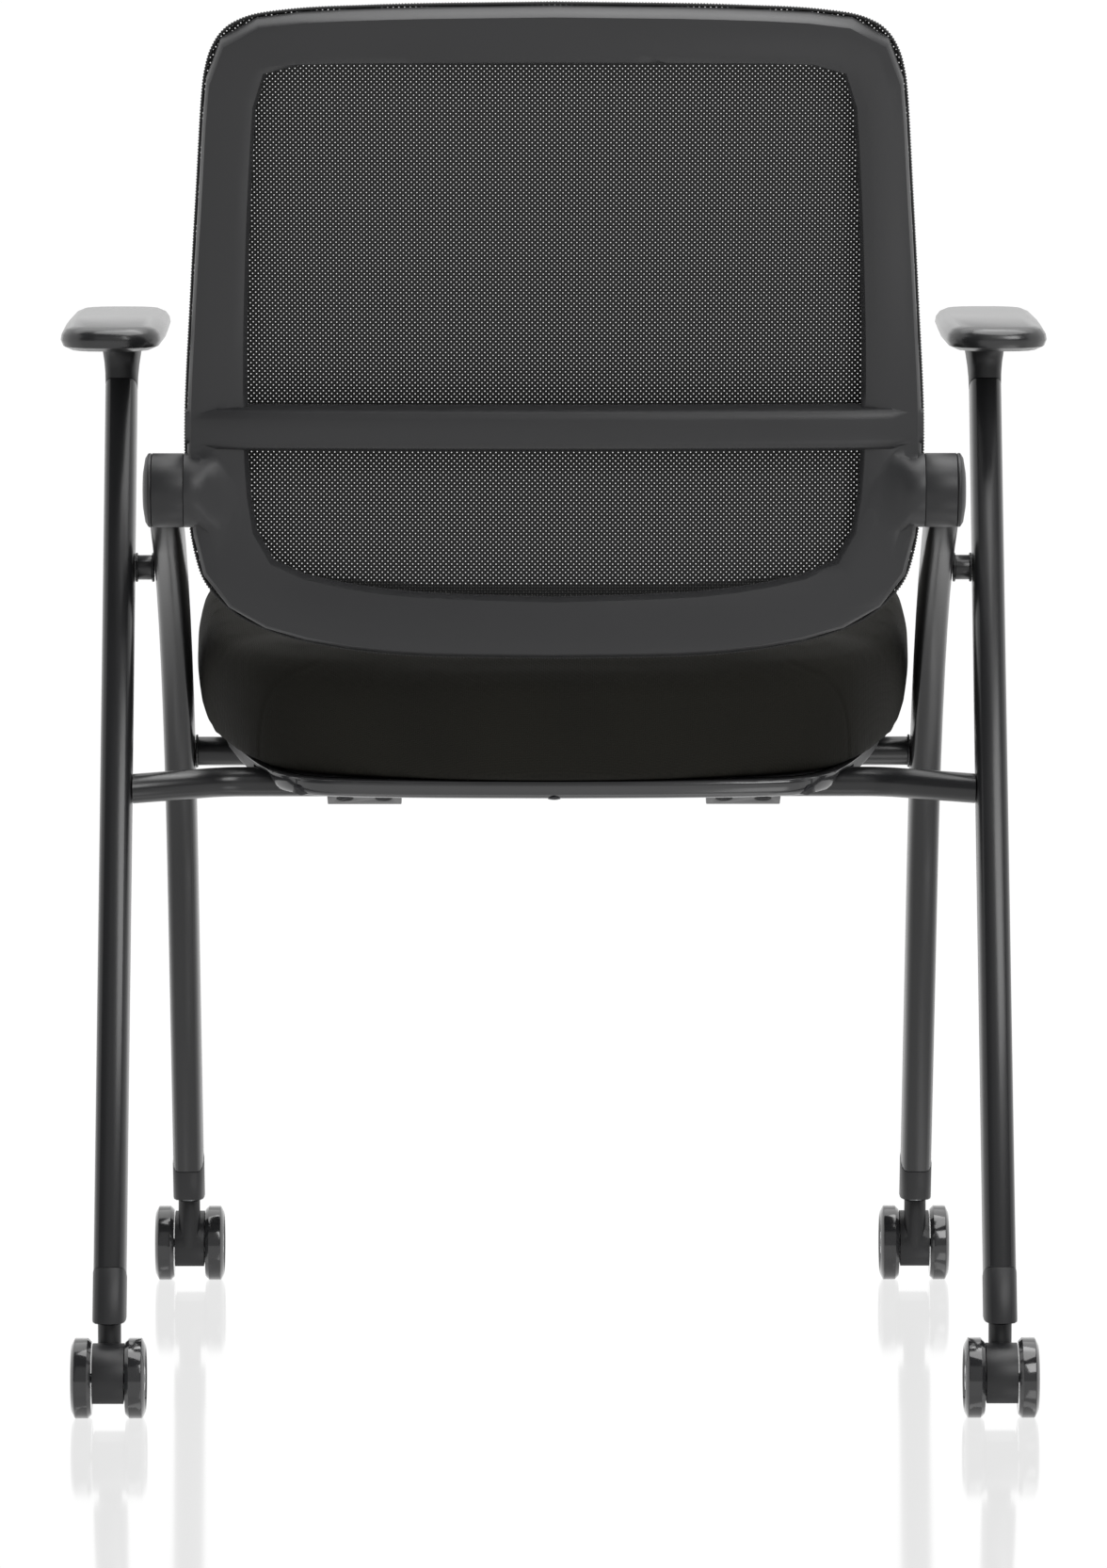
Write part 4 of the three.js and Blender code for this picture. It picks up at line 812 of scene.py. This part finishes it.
    def top(self, p: Vector) -> float:
        """Gives the height of the cushion's top: its sides rise and its front falls away.

        Args:
            p: A place in plan.

        Returns:
            The height above the hinge axis, less the room to swell.
        """
        heights = []
        for tops in (self.middle_tops, self.side_tops):
            after = next((i for i, (y, _) in enumerate(tops) if y > p.y), len(tops) - 1)
            (y0, z0), (y1, z1) = tops[max(after - 1, 0)], tops[max(after, 1)]
            heights.append(z0 + (z1 - z0) * min(1, max(0, (p.y - y0) / (y1 - y0))))
        share = min(1, abs(p.x) / (self.width / 2)) ** 3
        return heights[0] * (1 - share) + heights[1] * share - self.shrink / 2

    def form(self) -> Piece:
        """Lofts the cushion before it is filled, with room for the board in its underside.

        Returns:
            The cushion's cover.
        """
        rim = outline(self.cushion_shares, self.width / 2, -self.rear, self.length, self.stations)
        low = self.pan_top + self.gap

        def level(ring: Ring, z: float) -> Ring:
            """Lifts a plane ring to a height."""
            return [Vector((p.x, p.y, z)) for p in ring]

        room = grown(rim, -self.board_inset)
        rings = [level(room, low + self.board_room), level(room, low)]
        for up, out in self.side_shares:
            ring = grown(rim, out * self.bulge - self.shrink * min(1, up / self.shrink_from))
            rings.append([Vector((p.x, p.y, low + up * (self.top(p) - low))) for p in ring])
        shoulder = rings[-1]
        middle = Vector((0, self.length / 2 - self.rear, 0))
        for share in self.top_shares:
            ring = [middle.lerp(Vector((p.x, p.y, 0)), share) for p in shoulder]
            rings.append([Vector((p.x, p.y, self.top(p))) for p in ring])
        points, faces = loft([[self.place(p) for p in ring] for ring in rings])
        return outward(piece("seat_cushion_cover", points, faces, SEAT_CLOTH))

    def cushion(self) -> Piece:
        """Returns:
            The cushion.
        """
        made = self.form()
        modify(made, "REMESH", mode="VOXEL", voxel_size=self.voxel * MM, use_smooth_shade=True)
        self.fill(made)
        modify(made, "SUBSURF", levels=1, render_levels=1)
        self.sew(made)
        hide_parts("seat_cushion")
        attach(made, "seat")
        return made

    def fill(self, made: Piece) -> None:
        """Swells the cushion like foam under a sewn cover, with its underside held by the board.

        Args:
            made: The cushion's cover.
        """
        rest = [v.co.copy() for v in made.data.vertices]
        low = self.pan_top + self.held_low
        floor = self.pan_top + self.gap + self.board_room + self.held_room
        local = [self.local(p) for p in rest]
        held = [i for i, p in enumerate(local) if p.z < low or (p.z < floor and self.inside(p))]
        made.vertex_groups.new(name="held").add(held, 1.0, "REPLACE")
        cloth = made.modifiers.new("swell", "CLOTH").settings
        cloth.quality = self.cloth_quality
        cloth.mass = self.cover_mass
        cloth.tension_stiffness = cloth.compression_stiffness = self.cover_stiffness
        cloth.bending_stiffness = self.cover_bending
        cloth.use_pressure = True
        cloth.uniform_pressure_force = self.pressure
        cloth.vertex_group_mass = "held"
        cloth.effector_weights.gravity = 0
        for step in range(1, self.filling_steps + 1):
            bpy.context.scene.frame_set(step)
        normals = [v.normal.copy() for v in made.data.vertices]
        bake(made)
        swell = [(v.co - start).dot(n) for v, start, n in zip(made.data.vertices, rest, normals)]
        swell = self.evened(made, [min(max(d, 0.0), self.swell_cap * MM) for d in swell])
        for vertex, start, normal, distance in zip(made.data.vertices, rest, normals, swell):
            vertex.co = start + normal * distance
        reach = max(abs(v.co.x) for v in made.data.vertices) / MM
        LOG.info("cushion swells %.1f mm at most, to %.1f mm each side", max(swell) / MM, reach)
        bpy.context.scene.frame_set(1)

    def evened(self, made: Piece, values: list[float]) -> list[float]:
        """Evens values out over neighbouring vertices, as the foam under the cover does.

        Args:
            made: The piece.
            values: One value for each vertex.

        Returns:
            The evened values.
        """
        ends = np.array([e.vertices[:] for e in made.data.edges])
        evened = np.array(values)
        count = np.bincount(ends.ravel(), minlength=len(values))
        for _ in range(self.evening):
            total = np.bincount(ends[:, 0], evened[ends[:, 1]], len(values))
            total += np.bincount(ends[:, 1], evened[ends[:, 0]], len(values))
            evened = (evened + total / np.maximum(count, 1)) / 2
        return evened.tolist()

    def local(self, p: Vector) -> Vector:
        """Takes a point into the seat's frame.

        Args:
            p: The point in the chair's frame, in metres.

        Returns:
            The point in the seat's frame, in millimetres.
        """
        _, y, z = joint("seat_flip")["pos_m"]
        c, s = math.cos(self.tilt), math.sin(self.tilt)
        dy, dz = (p.y - y) / MM, (p.z - z) / MM
        return Vector((p.x / MM, dy * c + dz * s, dz * c - dy * s))

    def inside(self, p: Vector) -> bool:
        """Tells whether a point of the underside lies over the board and not out in a side wall.

        Args:
            p: The point in the seat's frame.

        Returns:
            Whether it does.
        """
        across = abs(p.x) < self.width / 2 * self.held_width
        return across and -self.rear + self.held_inset < p.y < self.length - self.rear - self.held_inset

    def sew(self, made: Piece) -> None:
        """Draws the arched rear seam into the cushion.

        Args:
            made: The filled cushion.
        """
        skin = BVHTree.FromObject(made, bpy.context.evaluated_depsgraph_get())
        half = spaced(self.seam, self.seam_stations)
        line = half + [Vector((-p.x, p.y)) for p in reversed(half[:-1])]
        path = []
        for p in line:
            start = self.place(Vector((p.x, -self.rear - self.seam_start, p.y)))
            ahead = (self.place(Vector((p.x, 0, p.y))) - start).normalized()
            hit = skin.ray_cast(start, ahead)[0]
            if hit is not None:
                path.append(hit)
        LOG.info("seam runs through %d of %d points", len(path), len(line))
        reach = self.seam_reach * MM
        normals = [v.normal.copy() for v in made.data.vertices]
        for vertex, normal in zip(made.data.vertices, normals):
            if self.local(vertex.co).y > self.seam_front:
                continue
            near = min((vertex.co - q).length for q in path)
            if near < reach:
                vertex.co -= normal * self.seam_depth * MM * (1 - near / reach) ** 2

    def lip_path(self) -> list[tuple[Vector, Vector]]:
        """Follows the right half of the pan's rim from the middle of its rear.

        Returns:
            Its points, each with its outward direction.
        """
        rim = outline(self.rim_shares, self.width / 2, -self.rear, self.length, self.lip_stations)
        out = [(q - p).normalized() for p, q in zip(grown(rim, -1.0), rim)]
        return list(zip(rim, out))[: self.lip_stations]

    def lip(self) -> Piece:
        """Builds the pan's rounded rear lip, with room where the rear bar passes under it.

        Returns:
            The lip.
        """
        half = [(p, o) for p, o in self.lip_path() if p.y < self.lip_reach]
        line = [(Vector((-p.x, p.y)), Vector((-o.x, o.y))) for p, o in reversed(half[1:])] + half
        top = self.lip_section[0][1]
        tall = top - min(z for _, z in self.lip_section)
        start, end = self.bar_ahead
        rings = []
        for p, o in line:
            share = min(1, max(0, (p.y - start) / (end - start)))
            kept = 1 - share * share * (3 - 2 * share) * (1 - (top - self.bar_room) / tall)
            section = [(d + self.lip_proud, top - (top - z) * kept) for d, z in self.lip_section]
            inner = []
            for d, z in reversed(section):
                lift = self.lip_floor if z < top - 1 else -self.lip_roof
                inner.append((d - self.lip_wall * (z < top), z + lift))
            ring = [(p.x + o.x * d, p.y + o.y * d, z) for d, z in section + inner]
            rings.append([self.place(Vector(q)) for q in ring])
        made = outward(piece("pan_rear_lip", *loft(rings), LIP_NYLON))
        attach(made, "seat")
        return made

    def rim_screws(self) -> list[Piece]:
        """Builds the three screws that show in the pan's rear lip.

        Returns:
            The screws.
        """
        path = self.lip_path()
        made = []
        for k in (-1, 0, 1):
            at, out = min(path, key=lambda near: abs(near[0].x - abs(k) * self.recess_spacing))
            inset, height, down = self.recess_middle if k == 0 else self.recess_side
            side = k or 1
            ahead = Vector((out.x * side * math.cos(down), out.y * math.cos(down), -math.sin(down)))
            start = Vector((at.x * side - out.x * side * inset, at.y - out.y * inset, height))
            turn = ahead.to_track_quat("Z", "Y").to_matrix()
            screw = screw_head(f"rim_screw_{k + 2}", self.recess_radius, self.head_height, self.socket_depth)
            for vertex in screw.data.vertices:
                p = vertex.co / MM - Vector((0, 0, self.recess_sunk))
                vertex.co = self.place(start + turn @ p)
            outward(screw)
            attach(screw, "seat")
            made.append(screw)
        return made


# A screw head: its sides, its dome as shares of radius and height, and its socket
HEAD_SIDES = 24
HEAD_DOME = ((1, 0), (1, 0.5), (0.88, 0.85), (0.66, 1))
SOCKET_SHARE = 0.48  # of the head's radius
SOCKET_MOUTH = 1.08
SOCKET_CHAMFER = 0.15


def screw_head(name: str, radius: float, height: float, drive: float) -> Piece:
    """Builds a domed screw head about +z with a hex socket.

    Args:
        name: The piece's name.
        radius: Of the head, in millimetres.
        height: Of the head.
        drive: Depth of the socket.

    Returns:
        The screw head, its underside at z = 0.
    """

    def ring(reach: float, z: float, hexed: bool = False) -> Ring:
        """Builds a round or six-sided ring at a height.

        Args:
            reach: Its radius, or that of the hexagon's corners.
            z: Its height.
            hexed: Whether it has six sides.

        Returns:
            The ring, in metres.
        """
        found = []
        for i in range(HEAD_SIDES):
            turn = 2 * math.pi * i / HEAD_SIDES
            share = math.cos(math.pi / 6) / math.cos(turn % (math.pi / 3) - math.pi / 6) if hexed else 1.0
            flat = Vector((math.cos(turn), math.sin(turn), 0)) * reach * share * MM
            found.append(flat + Vector((0, 0, z * MM)))
        return found

    socket = radius * SOCKET_SHARE
    dome = [ring(radius * across, height * up) for across, up in HEAD_DOME]
    mouth = [ring(socket * SOCKET_MOUTH, height), ring(socket, height - SOCKET_CHAMFER, True)]
    return piece(name, *loft([*dome, *mouth, ring(socket, height - drive, True)]), OXIDE)


@dataclass
class Welds:
    """Fillet welds where the cross tubes meet the legs. Sizes in millimetres."""

    bead: float = 1.5
    sunk: float = 0.2  # into the tube
    ripple: float = 0.14  # share by which the bead swells at each lap of the weld pool
    laps: int = 20
    stations: int = 60
    sides: int = 8
    # Its section as shares of the bead: how far out its middle is, half its height and half its width
    section: tuple[float, float, float] = (0.55, 0.45, 0.5)
    bar_radius: float = 9.5
    spacer_radius: float = 8
    end_room: float = 2  # how far from a tube's end its points still count as the end

    def around(self, name: str, node: str, radius: float, side: int) -> Piece:
        """Builds a bead round one end of a cross tube.

        Args:
            name: The weld's name.
            node: The CAD node of the cross tube.
            radius: The tube's radius.
            side: 1 for its right end, -1 for its left end.

        Returns:
            The weld.
        """
        low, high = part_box(node)
        end = (high.x if side > 0 else low.x) / MM
        near = [v.co for v in frame["nodes"][node].data.vertices if abs(v.co.x / MM - end) < self.end_room]
        middle = sum(near, Vector()) / len(near) / MM
        off, tall, wide = self.section
        rings = []
        for i in range(self.stations):
            turn = 2 * math.pi * i / self.stations
            out = Vector((0, math.cos(turn), math.sin(turn)))
            size = self.bead * (1 + self.ripple * math.sin(turn * self.laps))
            ring = []
            for k in range(self.sides):
                around = 2 * math.pi * k / self.sides
                reach = radius - self.sunk + size * (off + tall * math.cos(around))
                across = end - side * self.bead * off + size * wide * math.sin(around)
                ring.append(Vector((across, middle.y + out.y * reach, middle.z + out.z * reach)) * MM)
            rings.append(ring)
        made = outward(piece(name, *loft(rings, closed=True), POWDER_COAT))
        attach(made, "frame")
        return made

    def build(self) -> list[Piece]:
        """Builds all the welds.

        Returns:
            The welds.
        """
        made = []
        for word, side in (("left", -1), ("right", 1)):
            made.append(self.around(f"front_bar_weld_{word}", "front_bar", self.bar_radius, side))
            spacer = f"leg_spacer_{word}"
            made.append(self.around(f"spacer_weld_outer_{word}", spacer, self.spacer_radius, side))
            made.append(self.around(f"spacer_weld_inner_{word}", spacer, self.spacer_radius, -side))
        return made


# Modifiers

WELD_DISTANCE = 0.01  # at which a CAD node's points are joined, in millimetres
SOFT_EDGE = 0.5  # width of the softened edges
EDGE_STEPS = 2
EDGE_ANGLE = math.radians(50)  # sharper edges are softened
CREASE_ANGLE = math.radians(42)  # sharper edges are shaded sharp


def bake(made: Piece) -> None:
    """Replaces a piece's mesh with what its modifiers make of it.

    Args:
        made: The piece.
    """
    graph = bpy.context.evaluated_depsgraph_get()
    mesh = bpy.data.meshes.new_from_object(made.evaluated_get(graph))
    made.modifiers.clear()
    made.data = mesh


def modify(made: Piece, kind: str, **settings: Any) -> None:
    """Adds one modifier and applies it.

    Args:
        made: The piece.
        kind: The modifier's type.
        settings: The modifier's settings.
    """
    modifier = made.modifiers.new(kind.lower(), kind)
    for key, value in settings.items():
        setattr(modifier, key, value)
    bake(made)


def dress_frame() -> None:
    """Gives every CAD node its finish, softened edges and smooth shading."""
    slots = {s["node"]: s["material_slot"] for s in frame["record"]["subparts"]}
    for name, node in frame["nodes"].items():
        finish = FINISH_OF_SLOT[slots[name]]
        if name.startswith("hinge_screw"):
            finish = OXIDE
        elif name.startswith("tilt_drum"):
            finish = BLACK_NYLON
        material = MATERIALS.get(finish)
        for slot in node.material_slots:
            slot.material = material
        if "custom_normal" in node.data.attributes:
            node.data.attributes.remove(node.data.attributes["custom_normal"])
        node.data.polygons.foreach_set("use_smooth", [True] * len(node.data.polygons))
        weld = node.modifiers.new("weld", "WELD")
        weld.merge_threshold = WELD_DISTANCE * MM
        bevel = node.modifiers.new("edges", "BEVEL")
        bevel.width = SOFT_EDGE * MM
        bevel.segments = EDGE_STEPS
        bevel.limit_method = "ANGLE"
        bevel.angle_limit = EDGE_ANGLE
        bevel.use_clamp_overlap = True
        split = node.modifiers.new("creases", "EDGE_SPLIT")
        split.split_angle = CREASE_ANGLE


# Studio


@dataclass(frozen=True)
class Studio:
    """The camera of the photograph, a white floor with a faint reflection and soft light from all round."""

    image_height: float = 1665
    focal_pixels: float = 9500
    sensor: float = 36
    behind: float = 5512.9  # of the camera behind the rear axle, in millimetres
    aside: float = -22
    height: float = 1075.36
    pitch: float = 6.989  # downwards, in degrees
    yaw: float = 0.219
    sight: float = 60.0  # how far the camera sees, in metres
    floor_reach: float = 30.0  # of the floor each way
    white: Colour = (1, 1, 1, 1)
    sky: Colour = (0.9, 0.92, 0.95, 1)  # colour and strength of the light from all round
    sky_strength: float = 0.9
    # The lamps: name, place, size and power
    lamps: tuple[tuple[str, tuple[float, float, float], float, float], ...] = (
        ("key", (1.7, -3.2, 2.6), 1.8, 62),
        ("top", (0.4, -0.3, 3.0), 2.2, 60),
    )
    aim: tuple[float, float, float] = (0, 0, 0.5)

    def camera(self) -> None:
        """Sets up the camera."""
        data = bpy.data.cameras.new("photo_camera")
        data.sensor_fit = "VERTICAL"
        data.sensor_height = self.sensor
        data.lens = self.focal_pixels / self.image_height * self.sensor
        data.clip_end = self.sight
        made = bpy.data.objects.new("photo_camera", data)
        axle = joint("rear_caster_left_wheel_left_roll")["pos_m"][1]
        made.location = (self.aside * MM, axle - self.behind * MM, self.height * MM)
        made.rotation_euler = (math.radians(90 - self.pitch), 0, math.radians(-self.yaw))
        bpy.context.scene.collection.objects.link(made)
        bpy.context.scene.camera = made

    def floor(self) -> None:
        """Lays the floor."""
        corners = ((-1, -1), (1, -1), (1, 1), (-1, 1))
        points = [Vector((x * self.floor_reach, y * self.floor_reach, 0)) for x, y in corners]
        piece("floor", points, [(0, 1, 2, 3)], WhiteFloor())

    def world(self) -> None:
        """Sets the surroundings: white to the camera, and softboxes with dark gaps in reflections."""
        world = bpy.data.worlds.new("studio")
        bpy.context.scene.world = world
        tree = Tree(world)
        ray = tree.add("NodeLightPath").outputs
        seen = tree.add("NodeBackground", {"Color": self.white, "Strength": 1.0}).outputs[0]
        mirrored = tree.add("NodeBackground", {"Color": self.softboxes(tree), "Strength": 1.0}).outputs[0]
        around = tree.add("NodeBackground", {"Color": self.sky, "Strength": self.sky_strength}).outputs[0]
        first = tree.add("NodeMixShader", {0: ray["Is Glossy Ray"], 1: around, 2: mirrored}).outputs[0]
        last = tree.add("NodeMixShader", {0: ray["Is Camera Ray"], 1: first, 2: seen}).outputs[0]
        tree.add("NodeOutputWorld", {"Surface": last})

    def softboxes(self, tree: Tree) -> Socket:
        """Builds what reflections show of the studio.

        Args:
            tree: The world's node tree.

        Returns:
            How bright it is in each direction.
        """
        way = tree.add("NodeSeparateXYZ", {0: tree.add("NodeTexCoord").outputs["Generated"]}).outputs
        squares = (tree.math("POWER", way[i], 2) for i in range(2))
        flat = tree.math("SQRT", tree.math("ADD", *squares))
        ahead = tree.math("DIVIDE", way[1], tree.math("MAXIMUM", flat, 0.001))
        # Behind the camera: a grey wall, black flags to its left and right, then white
        low = tree.ramp(tree.share(ahead), [
            (0.0, 0.42), (0.03, 0.42), (0.045, 0.1), (0.14, 0.04), (0.22, 0.1), (0.3, 0.9), (0.6, 1.0),
            (1.0, 1.0),
        ])
        # Over the camera the ceiling is black, and from right above the chair to the front it is a softbox
        roof = tree.ramp(tree.share(way[1]), [(0.5, 0.02), (0.56, 1.0)])
        brighter = tree.math("ADD", 1.0, tree.ramp(way[2], [(0.3, 0.0), (0.7, 1.0)]))
        level = tree.math("MULTIPLY", roof, brighter)
        # The walls give way to the ceiling
        rise = tree.ramp(way[2], [(0.64, 0.0), (0.72, 1.0)])
        under = tree.math("MULTIPLY", low, tree.math("SUBTRACT", 1.0, rise))
        return tree.math("ADD", under, tree.math("MULTIPLY", level, rise))

    def lights(self) -> None:
        """Hangs a large soft key light above the camera's right, and one over the chair."""
        for name, place, size, power in self.lamps:
            data = bpy.data.lights.new(name, "AREA")
            data.size = size
            data.energy = power
            made = bpy.data.objects.new(name, data)
            made.location = place
            made.rotation_euler = (Vector(self.aim) - Vector(place)).to_track_quat("-Z", "Y").to_euler()
            bpy.context.scene.collection.objects.link(made)


def main() -> None:
    """Builds the scene and reports each piece."""
    logging.basicConfig(level=logging.INFO)
    studio = Studio()
    studio.camera()
    dress_frame()
    LOG.info("dressed %d CAD nodes", len(frame["nodes"]))
    back, seat = Back(), Seat()
    made = [back.mesh(), back.edge(), seat.cushion(), seat.lip(), *seat.rim_screws(), *Welds().build()]
    for built in made:
        LOG.info("built %s with %d faces", built.name, len(built.data.polygons))
    studio.floor()
    studio.world()
    studio.lights()
    bpy.context.scene.view_settings.view_transform = "Standard"


if __name__ == "__main__":
    main()
